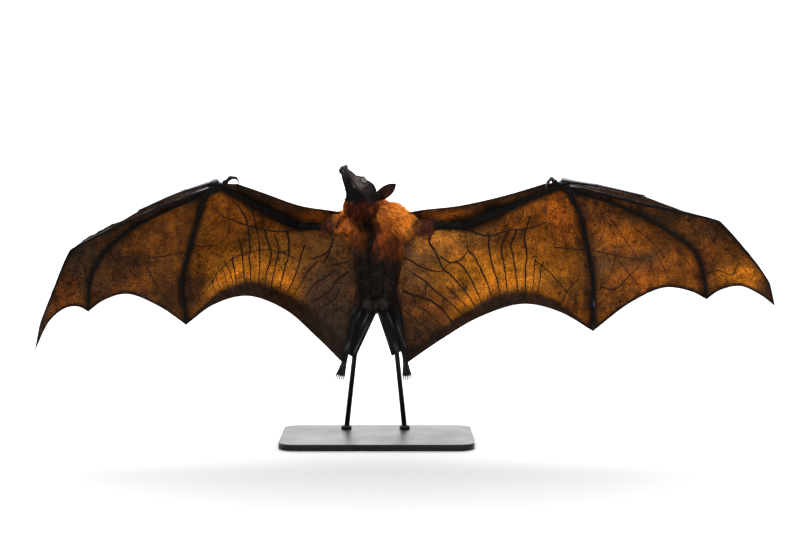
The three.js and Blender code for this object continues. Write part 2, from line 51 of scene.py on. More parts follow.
# The base's edge: mm in from the outline, and mm up
BASE_PROFILE = ((0.9, 0), (0.25, 0.3), (0, 1), (0, 8), (0.3, 9.2), (1, 9.8), (2.2, 10))
CORNER_STEPS = 14
ROD_RADIUS = 4 * MM
ROD_SIDES = 40
# A collar's radius and height in mm, and each rod's foot and head in mm
COLLAR = ((8.2, 0), (8.2, 5), (7.6, 5.8), (4.6, 6.6))
RODS = {"left": ((44, 58, 5), (20, 15, 242)), "right": ((-50, 58, 5), (-23, 15, 242))}


def srgb(red, green, blue):
    """A colour picked on a chart from 0 to 255, as the linear light that shaders mix"""
    value = np.array([red, green, blue], float) / 255
    return np.where(value <= 0.04045, value / 12.92, ((value + 0.055) / 1.055) ** 2.4)


def rgba(red, green, blue):
    """The same with full opacity, as sockets take it"""
    return (*srgb(red, green, blue), 1.0)


def unit(vectors):
    """Vectors of length one"""
    vectors = np.asarray(vectors, float)
    return vectors / np.maximum(np.linalg.norm(vectors, axis=-1, keepdims=True), 1e-12)


def make_mesh(name, corners, faces):
    """A smooth-shaded mesh object from its corners and its faces, given as arrays of triangles or quads"""
    faces = [np.asarray(group, np.int32) for group in faces if len(group)]
    sizes = np.concatenate([np.full(len(group), group.shape[1], np.int32) for group in faces])
    loops = np.concatenate([group.ravel() for group in faces])
    mesh = bpy.data.meshes.new(name)
    mesh.vertices.add(len(corners))
    mesh.vertices.foreach_set("co", np.asarray(corners, np.float32).ravel())
    mesh.loops.add(len(loops))
    mesh.loops.foreach_set("vertex_index", loops)
    mesh.polygons.add(len(sizes))
    mesh.polygons.foreach_set("loop_start", np.concatenate([[0], np.cumsum(sizes)[:-1]]).astype(np.int32))
    mesh.update(calc_edges=True)
    mesh.shade_smooth()
    piece = bpy.data.objects.new(name, mesh)
    bpy.context.scene.collection.objects.link(piece)
    return piece


def rings_to_faces(rings, around, start=0):
    """Quads between closed rings of corners, each ring following the one before"""
    ring = np.arange(rings - 1)[:, None] * around + start
    following = ring + around
    step = np.arange(around)[None, :]
    onward = (step + 1) % around
    quads = [ring + step, ring + onward, following + onward, following + step]
    return np.stack(quads, -1).reshape(-1, 4)


def close_ends(rings, around, start=0):
    """Triangles that fan the first and last ring to the two corners that follow the rings"""
    step = np.arange(around)
    onward = (step + 1) % around
    first = rings * around + start
    last_ring = (rings - 1) * around + start
    bottom = np.stack([np.full(around, first), start + onward, start + step], 1)
    top = np.stack([np.full(around, first + 1), last_ring + step, last_ring + onward], 1)
    return np.concatenate([bottom, top])


def outward(corners, faces):
    """The same closed shell with its faces turned so that they look outwards"""
    volume = 0.0
    for group in faces:
        for k in range(1, group.shape[1] - 1):
            a, b, c = corners[group[:, 0]], corners[group[:, k]], corners[group[:, k + 1]]
            volume += np.einsum("ij,ij->i", a, np.cross(b, c)).sum()
    return (corners, faces) if volume > 0 else (corners, [group[:, ::-1] for group in faces])


def turned(profile, foot, direction, sides):
    """A turned shell from (radius, height) pairs, standing at foot and running along direction"""
    direction = unit(direction)
    side = unit(np.cross(direction, (0, 1, 0.3)))
    other = np.cross(direction, side)
    angle = np.arange(sides) * 2 * np.pi / sides
    round_it = np.cos(angle)[:, None] * side + np.sin(angle)[:, None] * other
    rings = [foot + direction * height + round_it * radius for radius, height in profile]
    ends = [foot + direction * profile[0][1], foot + direction * profile[-1][1]]
    corners = np.concatenate([*rings, ends])
    return outward(corners, [rings_to_faces(len(profile), sides), close_ends(len(profile), sides)])


def merge(shells):
    """Several shells as one list of corners and faces"""
    corners, faces, count = [], [], 0
    for places, groups in shells:
        corners.append(places)
        faces.extend(np.asarray(group) + count for group in groups)
        count += len(places)
    return np.concatenate(corners), faces


def put(tree, kind, inputs=None, **settings):
    """Adds a shader node. An input given as a socket is linked, and one given as a value is set"""
    made = tree.nodes.new(kind)
    for name, value in settings.items():
        setattr(made, name, value)
    for name, value in (inputs or {}).items():
        if isinstance(value, bpy.types.NodeSocket):
            tree.links.new(value, made.inputs[name])
        else:
            made.inputs[name].default_value = value
    return made


def new_finish(name):
    """A new material, its node tree and its main shader"""
    finish = bpy.data.materials.new(name)
    finish.use_nodes = True
    tree = finish.node_tree
    return finish, tree, tree.nodes["Principled BSDF"]


def in_place(tree):
    """The surface's own coordinates, in metres"""
    return put(tree, "ShaderNodeTexCoord").outputs["Object"]


def noise(tree, where, scale, detail=3.0, rough=0.55):
    inputs = {"Vector": where, "Scale": scale, "Detail": detail, "Roughness": rough}
    return put(tree, "ShaderNodeTexNoise", inputs).outputs["Fac"]


def spread(tree, value, low, high, to_low=0.0, to_high=1.0):
    """Stretches a value from one span to another, held at both ends"""
    inputs = {"Value": value, "From Min": low, "From Max": high, "To Min": to_low, "To Max": to_high}
    return put(tree, "ShaderNodeMapRange", inputs).outputs["Result"]


def sums(tree, operation, a, b):
    """A sum, product or other step of arithmetic on two values"""
    return put(tree, "ShaderNodeMath", {0: a, 1: b}, operation=operation).outputs[0]


def blend(tree, kind, share, under, over):
    """Mixes two colours"""
    made = put(tree, "ShaderNodeMix", data_type="RGBA", blend_type=kind)
    for socket, value in ((0, share), (6, under), (7, over)):
        if isinstance(value, bpy.types.NodeSocket):
            tree.links.new(value, made.inputs[socket])
        else:
            made.inputs[socket].default_value = value
    return made.outputs[2]


def bump(tree, height, strength, distance):
    """Fine relief of the surface, with its depth in metres"""
    inputs = {"Height": height, "Strength": strength, "Distance": distance}
    return put(tree, "ShaderNodeBump", inputs).outputs["Normal"]


POWDER_BLACK = rgba(14, 14, 15)
POWDER_WORN = rgba(21, 21, 22)
powder_coat, tree, shader = new_finish("satin_black_powder_coat")
place = in_place(tree)
grain = noise(tree, place, 900.0, 2.0)
handling = noise(tree, place, 14.0, 4.0)
powder_colour = blend(tree, "MIX", spread(tree, handling, 0.35, 0.7), POWDER_BLACK, POWDER_WORN)
tree.links.new(powder_colour, shader.inputs["Base Color"])
tree.links.new(spread(tree, handling, 0.3, 0.7, 0.34, 0.46), shader.inputs["Roughness"])
tree.links.new(bump(tree, grain, 0.35, 0.0002), shader.inputs["Normal"])
shader.inputs["Specular IOR Level"].default_value = 0.12

# The base's outline: the corner's quadrant, and the way round that corner
outline = []
for quarter, (across, deep) in enumerate(((1, 1), (-1, 1), (-1, -1), (1, -1))):
    for step in range(CORNER_STEPS + 1):
        angle = (quarter + step / CORNER_STEPS) * math.pi / 2
        outline.append((across, deep, math.cos(angle), math.sin(angle)))
outline = np.array(outline)
rings = []
for inset, height in BASE_PROFILE:
    radius = BASE_CORNER - inset * MM
    ring = np.zeros((len(outline), 3))
    ring[:, 0] = outline[:, 0] * (BASE_WIDTH / 2 - BASE_CORNER) + outline[:, 2] * radius
    ring[:, 1] = outline[:, 1] * (BASE_DEPTH / 2 - BASE_CORNER) + outline[:, 3] * radius
    ring[:, 2] = height * MM
    rings.append(ring)
around = len(outline)
corners = np.concatenate([*rings, [(0, 0, 0), (0, 0, BASE_HEIGHT)]])
faces = [rings_to_faces(len(rings), around), close_ends(len(rings), around)]
display_base = make_mesh("display_base", *outward(corners, faces))
display_base.data.materials.append(powder_coat)
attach(display_base, "root")
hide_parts("stand_base")

for side, (foot, head) in RODS.items():
    foot = np.array(foot) * MM
    head = np.array(head) * MM
    up = unit(head - foot)
    length = np.linalg.norm(head - foot)
    rod = turned(((ROD_RADIUS, 0), (ROD_RADIUS, length)), foot, up, ROD_SIDES)
    seat = foot + up * (BASE_HEIGHT - foot[2]) / up[2]
    seat[2] = BASE_HEIGHT
    collar = turned([(radius * MM, height * MM) for radius, height in COLLAR], seat, (0, 0, 1), ROD_SIDES)
    display_rod = make_mesh(f"display_rod_{side}", *merge([rod, collar]))
    display_rod.data.materials.append(powder_coat)
    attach(display_rod, "root")
    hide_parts(f"stand_rod_{side}")


# ---- Head and trunk ----
# The flesh of head, neck, chest and belly is one form swept from nose to crotch along a bent spine.
# It is set in by the depth of the coat that grows on it, and fused with cheeks, limbs and ears afterwards.
HEAD_BACK = (0.7, 0.5, 0.51)
TRUNK_BACK = (0, 1, 0)
# Stations in mm: the spine's place, half-width, half-depths to back and belly, and the way the back faces
STATIONS = [
    ((-52, -45, 430), 3.2, 4, 2.8, HEAD_BACK),
    ((-49.5, -46, 424.5), 6.4, 6.8, 6, HEAD_BACK),
    ((-43, -47, 414), 9.2, 12.6, 11.5, HEAD_BACK),
    ((-36, -47, 405), 13, 15.2, 17.5, HEAD_BACK),
    ((-30, -46, 397), 18, 21.5, 22, HEAD_BACK),
    ((-24, -43, 387), 22, 27, 26, HEAD_BACK),
    ((-22, -37, 373), 29, 19, 33, (0.55, 0.75, 0.35)),
    ((-14, -27, 357), 31, 26, 32, (0.2, 0.97, 0.1)),
    ((-1, -19, 341), 49, 33, 32, TRUNK_BACK),
    ((1, -15, 316), 43, 33, 33, TRUNK_BACK),
    ((1, -11, 282), 39, 30, 31, TRUNK_BACK),
    ((0, -5, 245), 33, 25, 26, TRUNK_BACK),
    ((0, 1, 218), 25, 19, 19, TRUNK_BACK),
    ((0, 5, 201.5), 6, 5, 5, TRUNK_BACK),
]
LAST = len(STATIONS) - 1
SPINE_TENSION = 0.5
SIZE_TENSION = 0.4
# How deep the coat lies over the skin, by station
COAT_DEPTH = ((0, 2, 4, 5, 5.8, 6.6, 9, 10, 11, 12, 13), (0.2, 0.3, 0.7, 1.2, 3, 6.5, 7, 4.5, 3, 2.5, 2))
# The length at each end of a shell that is domed, as a share of the spine
DOME = 0.035
SOFTEN_PULL = 0.55
SOFTEN_PUSH = -0.56
HEAD_VOXEL = 0.75 * MM
TRUNK_VOXEL = 2.0 * MM
HAND_VOXEL = 0.95 * MM


def bend(start, end, leave, arrive, w):
    """A cubic stretch from start to end that leaves and arrives at given rates, read at shares w"""
    squared = (3 * (end - start) - 2 * leave - arrive) * w**2
    cubed = (2 * (start - end) + leave + arrive) * w**3
    return start + leave * w + squared + cubed


def through(samples, t, tension=SIZE_TENSION):
    """A smooth curve through evenly spaced samples, read at shares t of the way"""
    samples = np.asarray(samples, float)
    flat = samples.ndim == 1
    samples = samples[:, None] if flat else samples
    padded = np.concatenate([[2 * samples[0] - samples[1]], samples, [2 * samples[-1] - samples[-2]]])
    along = np.clip(np.asarray(t, float), 0, 1) * (len(samples) - 1)
    first = np.clip(np.floor(along).astype(int), 0, len(samples) - 2)
    w = (along - first)[:, None]
    before, start, end, after = (padded[first + k] for k in range(4))
    smooth = bend(start, end, tension * (end - before), tension * (after - start), w)
    return smooth[:, 0] if flat else smooth


def spine_frame(t):
    """The spine's place at each t, with the ways to tail, back and the bat's left"""
    t = np.asarray(t, float)
    places = [station[0] for station in STATIONS]
    centre = through(places, t, SPINE_TENSION) * MM
    low, high = np.clip(t - 1e-4, 0, 1), np.clip(t + 1e-4, 0, 1)
    tail = unit(through(places, high, SPINE_TENSION) - through(places, low, SPINE_TENSION))
    back = through([station[4] for station in STATIONS], t)
    back = unit(back - tail * (back * tail).sum(1, keepdims=True))
    return centre, tail, back, np.cross(tail, back)


def spine_sizes(t):
    """The half-width and the half-depths to back and belly at each t"""
    return [through([station[k] for station in STATIONS], t) * MM for k in (1, 2, 3)]


def body_shell(start, end, around, rings):
    """A closed length of the flesh between two shares of the spine, inside the coat, with domed ends"""
    closer = np.sin(np.linspace(-np.pi / 2, np.pi / 2, rings)) * 0.5 + 0.5
    t = start + (end - start) * (0.5 * closer + 0.5 * np.linspace(0, 1, rings))
    centre, tail, back, side = spine_frame(t)
    half, rear, belly = spine_sizes(t)
    inset = np.interp(t * LAST, *COAT_DEPTH) * MM
    dome = np.sqrt(np.clip(1 - (1 - np.minimum(t - start, end - t) / DOME).clip(0) ** 2, 0.04, 1))
    angle = np.arange(around) * 2 * np.pi / around
    across, along = np.cos(angle), np.sin(angle)
    depth = np.where(along > 0, rear[:, None], belly[:, None]) - inset[:, None]
    width = (half - inset)[:, None] * across * dome[:, None]
    depth = depth * along * dome[:, None]
    corners = centre[:, None] + side[:, None] * width[..., None] + back[:, None] * depth[..., None]
    ends = [centre[0] - tail[0] * 0.5 * MM, centre[-1] + tail[-1] * 0.5 * MM]
    corners = np.concatenate([corners.reshape(-1, 3), ends])
    return outward(corners, [rings_to_faces(rings, around), close_ends(rings, around)])


def ball(centre, radii, axes=np.eye(3), around=28, rings=18):
    """A closed ball, stretched by its three radii along three axes"""
    turn = np.linspace(0, np.pi, rings + 2)[1:-1, None]
    angle = np.arange(around) * 2 * np.pi / around
    local = [np.sin(turn) * np.cos(angle), np.sin(turn) * np.sin(angle), np.cos(turn) + 0 * angle]
    local = np.concatenate([np.stack(local, -1).reshape(-1, 3), [(0, 0, 1), (0, 0, -1)]]) * radii
    corners = np.asarray(centre) + local @ np.asarray(axes)
    return outward(corners, [rings_to_faces(rings, around), close_ends(rings, around)])


def tube(line, radii, sides, reference=(0, 1, 0), flat=1.0):
    """A closed round bar with domed ends along a line of places; flat thins it across the reference"""
    line = np.asarray(line, float)
    radii = np.broadcast_to(np.asarray(radii, float), len(line))
    tangent = unit(np.gradient(line, axis=0))
    dome = np.array([0.35, 0.7, 0.93])
    low = [line[0] - tangent[0] * radii[0] * k for k in dome[::-1]]
    high = [line[-1] + tangent[-1] * radii[-1] * k for k in dome]
    shrink = np.sqrt(1 - dome**2)
    centre = np.concatenate([low, line, high])
    radius = np.concatenate([radii[0] * shrink[::-1], radii, radii[-1] * shrink])
    tangent = np.concatenate([np.repeat(tangent[:1], 3, 0), tangent, np.repeat(tangent[-1:], 3, 0)])
    side = unit(np.cross(tangent, reference))
    back = np.cross(side, tangent)
    angle = np.arange(sides) * 2 * np.pi / sides
    ring = np.cos(angle)[:, None] * side[:, None] + np.sin(angle)[:, None] * back[:, None] * flat
    corners = (centre[:, None] + ring * radius[:, None, None]).reshape(-1, 3)
    ends = [line[0] - tangent[0] * radii[0], line[-1] + tangent[-1] * radii[-1]]
    corners = np.concatenate([corners, ends])
    return outward(corners, [rings_to_faces(len(centre), sides), close_ends(len(centre), sides)])


def read(items, name, kind=np.int32, width=1):
    """One value, or as many as the width, for each of a mesh's items"""
    values = np.zeros(len(items) * width, kind)
    items.foreach_get(name, values)
    return values


def mesh_arrays(mesh):
    """A mesh's corners and its faces, as quads and triangles"""
    corners = read(mesh.vertices, "co", np.float32, 3)
    loops = read(mesh.loops, "vertex_index")
    sizes = read(mesh.polygons, "loop_total")
    starts = read(mesh.polygons, "loop_start")
    quads = loops[starts[sizes == 4][:, None] + np.arange(4)]
    triangles = loops[starts[sizes == 3][:, None] + np.arange(3)]
    return corners.reshape(-1, 3).astype(float), [quads, triangles]


def edges_of(faces):
    """Both ends of every edge, each edge both ways round"""
    pairs = [group[:, [k, (k + 1) % group.shape[1]]] for group in faces for k in range(group.shape[1])]
    pairs = np.concatenate(pairs)
    return np.concatenate([pairs[:, 0], pairs[:, 1]]), np.concatenate([pairs[:, 1], pairs[:, 0]])


def soften(corners, faces, rounds):
    """Evens out a surface without shrinking it: each pull inwards is followed by a push outwards"""
    here, there = edges_of(faces)
    count = np.maximum(np.bincount(here, minlength=len(corners)), 1)[:, None]
    for turn in range(2 * rounds):
        mean = np.stack([np.bincount(here, corners[there, k], len(corners)) for k in range(3)], 1) / count
        corners = corners + (SOFTEN_PULL if turn % 2 == 0 else SOFTEN_PUSH) * (mean - corners)
    return corners


def normals_of(corners, faces):
    """The way the surface faces at each corner, from the crossed diagonals of quads or edges of triangles"""
    total = np.zeros_like(corners)
    for group in faces:
        last = group[:, 3 % group.shape[1]]
        normal = np.cross(corners[group[:, 2]] - corners[group[:, 0]], corners[last] - corners[group[:, 1]])
        for k in range(group.shape[1]):
            for axis in range(3):
                total[:, axis] += np.bincount(group[:, k], normal[:, axis], len(corners))
    return unit(total)


def discard(piece):
    """Throws away a piece that was only a step towards another"""
    mesh = piece.data
    bpy.data.objects.remove(piece)
    bpy.data.meshes.remove(mesh)


def fuse(shells, voxel, rounds):
    """Fuses overlapping closed shells into one even skin"""
    rough = make_mesh("fusing", *merge(shells))
    step = rough.modifiers.new("fuse", "REMESH")
    step.mode = "VOXEL"
    step.voxel_size = voxel
    bpy.context.view_layer.update()
    mesh = bpy.data.meshes.new_from_object(rough.evaluated_get(bpy.context.evaluated_depsgraph_get()))
    corners, faces = mesh_arrays(mesh)
    bpy.data.meshes.remove(mesh)
    discard(rough)
    return soften(corners, faces, rounds), faces


SPINE_SAMPLES = np.linspace(0, 1, 500)
SPINE = spine_frame(SPINE_SAMPLES)
SPINE_SIZES = spine_sizes(SPINE_SAMPLES)


def body_places(points):
    """Where points lie on the body: the spine's sample nearest each, and how far left and back of it"""
    centre = SPINE[0]
    nearest = np.zeros(len(points), int)
    for start in range(0, len(points), 40000):
        chunk = points[start : start + 40000]
        gap = (chunk**2).sum(1)[:, None] - 2 * chunk @ centre.T + (centre**2).sum(1)
        nearest[start : start + 40000] = gap.argmin(1)
    offset = points - centre[nearest]
    return nearest, (offset * SPINE[3][nearest]).sum(1), (offset * SPINE[2][nearest]).sum(1)


def head_mirror(points, direction=False):
    """The same place or direction on the other side of the head"""
    centre, _, _, side = (part[0] for part in spine_frame([0.34]))
    offset = np.asarray(points, float) - (0 if direction else centre)
    offset = offset - 2 * np.outer(np.atleast_2d(offset) @ side, side).reshape(np.shape(offset))
    return offset + (0 if direction else centre)


# ---- Muzzle, nostrils, lids and ears ----
# The head is bare at the nose and thinly furred on the muzzle. Two short nostril tubes stand apart at the
# tip, the mouth line runs back to below the eye, and each ear is a thin pointed leaf curled into a cup.
EYE = {"at": np.array([-19.9, -56.4, 408.0]) * MM, "radius": 5.2 * MM}
# How far the gaze turns to the side, away from the tail and to the back
GAZE = (0.95, -0.24, 0.02)
LID_THICKNESS = 1.0 * MM
LID_OPENING = np.array([3.9, 2.7, 3.2]) * MM
# Muscle behind each eye: mm inwards from the eye, mm towards the tail, and radius in mm
EYE_MUSCLES = ((6.2, 0, 10.4), (7.5, 6, 11), (9, -6, 8.5))
# Muscle at the root of each ear: mm inwards and radius in mm
EAR_MUSCLE = (4, 6.5)
NOSTRIL = {"station": 0.75, "apart": 4.6, "raise": 2.6, "radius": 3.0, "bore": 1.4, "onward": 2.6}
# How far the nostrils turn to the side, away from the tail and to the back
NOSTRIL_TURN = (0.5, 0.8, 0.22)
BORE_STRETCH = np.array([1.25, 1.0, 2.6])
NOSE_STATION = 0.95
NOSE_PAD = np.array([7.0, 6.8, 7.3]) * MM
EAR = {"base": (7, -45, 387), "tip": (30, -47, 403), "facing": (-0.25, -0.9, -0.35), "far_tip": (0, 5, -14)}
EAR_WIDTH = 21.5 * MM
EAR_CUP = 5 * MM
EAR_SUNK = 0.25
EAR_THICKNESS = 1.1 * MM
# The mouth line: the angle below the side at which it runs, by station
MOUTH = ((0.1, 0.35, 0.7, 1.2, 2, 2.8, 3.45), (-88, -58, -36, -26, -20, -22, -30))
# Swellings and hollows: station, angle above the side, spread along and across in mm, and height in mm
HEAD_FORMS = (
    (4.1, -8, 9, 7, 1.6),
    (4.6, -45, 9, 8, 1.0),
    (2.4, 78, 7, 5, -1.0),
    (3.9, 88, 7, 5, 0.9),
    (3.3, 50, 4, 3.5, 1.1),
    (2.5, 20, 5, 3.5, -0.9),
    (1.3, 15, 4, 3.5, 0.5),
    (0.9, -70, 3, 4, 0.7),
    (4.7, 40, 7, 6, -0.8),
    (3.2, -66, 12, 5, -0.6),
)


def hump(offset, width):
    """A smooth bump that is 1 in the middle"""
    return np.exp(-((offset / width) ** 2))


def ear_axes(mirrored):
    """An ear's base, tip and the way its hollow faces. The far ear is laid back"""
    base, tip = np.array(EAR["base"]) * MM, np.array(EAR["tip"]) * MM
    facing = np.array(EAR["facing"])
    if mirrored:
        base, tip, facing = head_mirror(base), head_mirror(tip), head_mirror(facing, True)
        tip = tip + np.array(EAR["far_tip"]) * MM
    return base, tip, facing


def ear_shell(mirrored):
    """One ear as a thin closed leaf, with fine folds inside and a rolled rim"""
    base, tip, facing = ear_axes(mirrored)
    length = tip - base
    across = unit(np.cross(length, facing))
    opening = unit(np.cross(across, length))
    x = np.linspace(-0.5, 0.5, 41)[None, :]
    v = np.sin(np.linspace(0, np.pi / 2, 49))[:, None]
    leaf = np.clip(1 - v**2.6, 0, 1) ** 0.8 * (0.68 + 0.74 * v - 0.25 * v * v)
    half = np.maximum(0.35 * MM, EAR_WIDTH / 2 * leaf)
    curl = x**2 * 4 * EAR_CUP * leaf * (1 + 0.25 * (2 * np.abs(x)) ** 6)
    folds = 0.3 * MM * np.cos(x * 26) * hump(v - 0.35, 0.3) * (1 - (2 * np.abs(x)) ** 4)
    lobe = 1.6 * MM * np.exp(-(((x + 0.42) / 0.09) ** 2 + ((v - 0.2) / 0.1) ** 2))
    thick = EAR_THICKNESS * (0.5 + 0.5 * np.clip((1 - (2 * np.abs(x)) ** 6) * (1 - v**6), 0, 1))
    middle = base + (v * (1 + EAR_SUNK) - EAR_SUNK)[..., None] * length + (x * 2 * half)[..., None] * across
    inner = middle + (curl - EAR_CUP + folds + lobe + thick / 2)[..., None] * opening
    outer = middle + (curl - EAR_CUP + folds + lobe - thick / 2)[..., None] * opening
    return sheet_shell(inner, outer)


def grid_quads(index):
    """Quads over a grid of corner numbers"""
    return np.stack([index[:-1, :-1], index[:-1, 1:], index[1:, 1:], index[1:, :-1]], -1).reshape(-1, 4)


def sheet_shell(front, rear):
    """A closed shell between two grids of corners, one over the other"""
    rows, columns = front.shape[:2]
    below = rows * columns
    corners = np.concatenate([front.reshape(-1, 3), rear.reshape(-1, 3)])
    index = np.arange(below).reshape(rows, columns)
    quads = grid_quads(index)
    top = np.concatenate([quads[:, [0, 1, 2]], quads[:, [0, 2, 3]]])
    bottom = top[:, ::-1] + below
    rim = np.concatenate([index[0, :-1], index[:-1, -1], index[-1, :0:-1], index[:0:-1, 0]])
    onward = np.roll(rim, -1)
    walls = [np.stack([rim, rim + below, onward], 1), np.stack([onward, rim + below, onward + below], 1)]
    return outward(corners, [np.concatenate([top, bottom, *walls])])


def combine(piece, other, operation="UNION"):
    """Joins another closed mesh to a piece, or cuts it out"""
    step = piece.modifiers.new("join", "BOOLEAN")
    step.operation = operation
    step.solver = "MANIFOLD"
    step.object = other
    bpy.context.view_layer.update()
    mesh = bpy.data.meshes.new_from_object(piece.evaluated_get(bpy.context.evaluated_depsgraph_get()))
    piece.modifiers.clear()
    old = piece.data
    piece.data = mesh
    bpy.data.meshes.remove(old)
    discard(other)


def from_spine(place):
    """The way from the nearest place on the spine"""
    return unit(place - SPINE[0][np.argmin(np.linalg.norm(SPINE[0] - place, axis=1))])


eyes = {"left": EYE["at"], "right": head_mirror(EYE["at"])}
gazes = {}
head_shells = [body_shell(0.0, 0.52, 72, 130)]
_, tail, back, side = (part[0] for part in spine_frame([3.4 / LAST]))
gazes["left"] = unit(side * GAZE[0] + tail * GAZE[1] + back * GAZE[2])
gazes["right"] = head_mirror(gazes["left"], True)
for which, centre in eyes.items():
    outer = from_spine(centre)
    head_shells.append(ball(centre - gazes[which] * 0.5 * MM, [EYE["radius"] + LID_THICKNESS] * 3))
    for inwards, towards_tail, radius in EYE_MUSCLES:
        muscle = centre - outer * inwards * MM + tail * towards_tail * MM
        head_shells.append(ball(muscle, [radius * MM] * 3))
    ear_root = np.array(EAR["base"]) * MM
    ear_root = ear_root if which == "left" else head_mirror(ear_root)
    inwards, radius = EAR_MUSCLE
    head_shells.append(ball(ear_root - from_spine(ear_root) * inwards * MM, [radius * MM] * 3))
nose, tail, back, side = (part[0] for part in spine_frame([NOSTRIL["station"] / LAST]))
bores = []
head_shells.append(ball(spine_frame([NOSE_STATION / LAST])[0][0] - back * 0.5 * MM, NOSE_PAD))
for sign in (1, -1):
    onward = unit(-tail * NOSTRIL_TURN[1] + side * NOSTRIL_TURN[0] * sign + back * NOSTRIL_TURN[2])
    root = nose + side * sign * NOSTRIL["apart"] * MM + back * NOSTRIL["raise"] * MM
    mouth = root + onward * NOSTRIL["onward"] * MM
    head_shells.append(tube([root - onward * 3 * MM, root, mouth], NOSTRIL["radius"] * MM, 20, (0.3, 1, 0.2)))
    bores.append((mouth + onward * 1.6 * MM, onward))
head_corners, head_faces = fuse(head_shells, HEAD_VOXEL, 7)

# Forms are raised along the skin's normals, then the mouth line is pressed in between raised lips
nearest, left, rear = body_places(head_corners)
station = SPINE_SAMPLES[nearest] * LAST
radius = np.hypot(left, rear)
angle = np.degrees(np.arctan2(rear, np.abs(left)))
normal = normals_of(head_corners, head_faces)
spine_steps = np.linalg.norm(np.diff([place for place, *_ in STATIONS], axis=0), axis=1)
station_mm = np.concatenate([[0], np.cumsum(spine_steps)])
along_mm = np.interp(station, np.arange(LAST + 1), station_mm)
raise_mm = np.zeros(len(head_corners))
for form_station, form_angle, form_along, form_across, height in HEAD_FORMS:
    off_along = (along_mm - np.interp(form_station, np.arange(LAST + 1), station_mm)) / form_along
    off_across = np.radians(angle - form_angle) * radius / MM / form_across
    raise_mm += height * np.exp(-(off_along**2) - off_across**2)
line_angle = np.interp(station, *MOUTH)
off_line = np.radians(angle - line_angle) * radius / MM
inside = np.clip((3.5 - station) / 0.3, 0, 1) * np.clip((station - 0.02) / 0.1, 0, 1)
raise_mm += inside * (0.45 * hump(off_line - 1.7, 1.1) + 0.35 * hump(off_line + 1.8, 1.2))
raise_mm -= inside * 1.25 * hump(off_line, 0.75)
cleft = hump(left / MM, 0.8) * np.clip((0.7 - station) / 0.4, 0, 1) * (rear > -2 * MM)
raise_mm -= 1.3 * cleft
head_corners = head_corners + normal * (raise_mm * MM)[:, None]
head_corners = soften(head_corners, head_faces, 1)

skin = make_mesh("bat_skin", head_corners, head_faces)
for which, centre in eyes.items():
    gaze = gazes[which]
    brow = unit(back - gaze * (back @ gaze))
    lid_line = np.cross(brow, gaze)
    socket = ball(centre, [EYE["radius"] + 0.06 * MM] * 3, around=48, rings=30)
    combine(skin, make_mesh("socket", *socket), "DIFFERENCE")
    opening = ball(centre + gaze * EYE["radius"], LID_OPENING, (lid_line, brow, gaze), 48, 30)
    combine(skin, make_mesh("opening", *opening), "DIFFERENCE")
for place, onward in bores:
    other = unit(np.cross(onward, (0.3, 1, 0.2)))
    axes = (other, np.cross(onward, other), onward)
    bore = ball(place, BORE_STRETCH * NOSTRIL["bore"] * MM, axes)
    combine(skin, make_mesh("bore", *bore), "DIFFERENCE")
for mirrored in (False, True):
    combine(skin, make_mesh("ear", *ear_shell(mirrored)))


# ---- Trunk, arms, legs and feet ----
# Muscle and bone under the skin, fused into one even body: each arm from shoulder to wrist with its thumb,
# each leg down to five long toes, and the testes. The toes, too thin to fuse evenly, are added one by one.

# Joints and edges of each wing, from its root outwards, in mm
WINGS = {
    "left": {
        "shoulder": (26, -15, 341),
        "elbow": (136, 9, 339),
        "wrist": (287, -49, 405),
        "thumb": ((272, -53, 407), (265, -71, 412), (259, -84, 407)),
        "thumb_claw": ((259, -84, 407), (256, -91, 401), (257, -90, 394)),
        "digit2": ((286, -51, 409), (341, -53, 401), (404, -53, 387)),
        "digit2_claw": ((404, -53, 387), (409, -54.5, 386.5), (412, -55, 383)),
        "digit3": ((290, -49, 401), (415, -51, 371), (525, -45, 346),
                   (584, -33, 282), (607, -24, 250), (617, -15, 215)),
        "digit4": ((287, -45, 395), (361, -43, 374), (420, -35, 347),
                   (490, -17, 301), (507, -7, 266), (514, -1, 223)),
        "digit5": ((292, -44, 395), (312, -34, 357), (327, -17, 302), (338, -1, 240), (338, 7, 172)),
        "leading_edge": ((18, -25, 345), (54, -29, 360), (128, -35, 370), (197, -45, 386), (259, -53, 405)),
        "edge34": ((595, -11, 231), (565, -7, 244), (534, -3, 237)),
        "edge45": ((492, 7, 234), (451, 13, 240), (396, 11, 216)),
        "rear_edge": ((99, 13, 157), (162, 25, 193), (230, 27, 213), (287, 19, 201)),
    },
    "right": {
        "shoulder": (-26, -15, 341),
        "elbow": (-123, 41, 337),
        "wrist": (-245, -59, 404.5),
        "thumb": ((-230, -63, 406), (-220, -79, 414), (-211, -92, 414)),
        "thumb_claw": ((-211, -92, 414), (-207, -99, 410), (-207, -99, 403)),
        "digit2": ((-244, -61, 408), (-302, -61, 390), (-357, -61, 366)),
        "digit2_claw": ((-357, -61, 366), (-361.5, -62.5, 364.5), (-364, -63, 361)),
        "digit3": ((-248, -59, 400), (-361, -57, 355), (-468, -51, 302),
                   (-501, -39, 230), (-520, -28, 187), (-530, -19, 147)),
        "digit4": ((-245, -55, 394), (-313, -49, 366), (-376, -39, 334),
                   (-431, -19, 284), (-446, -9, 252), (-450, -3, 204)),
        "digit5": ((-256, -55, 395), (-270, -43, 363), (-288, -17, 307), (-304, 1, 245), (-299, 9, 182)),
        "leading_edge": ((-18, -25, 345), (-55, -29, 359), (-117, -39, 370),
                         (-175, -51, 391), (-211, -61, 404)),
        "edge34": ((-508, -13, 191), (-484, -9, 210), (-465, -7, 212)),
        "edge45": ((-428, 5, 220), (-392, 13, 230), (-340, 11, 210)),
        "rear_edge": ((-97, 15, 164), (-145, 29, 204), (-205, 35, 225), (-257, 27, 212)),
    },
}
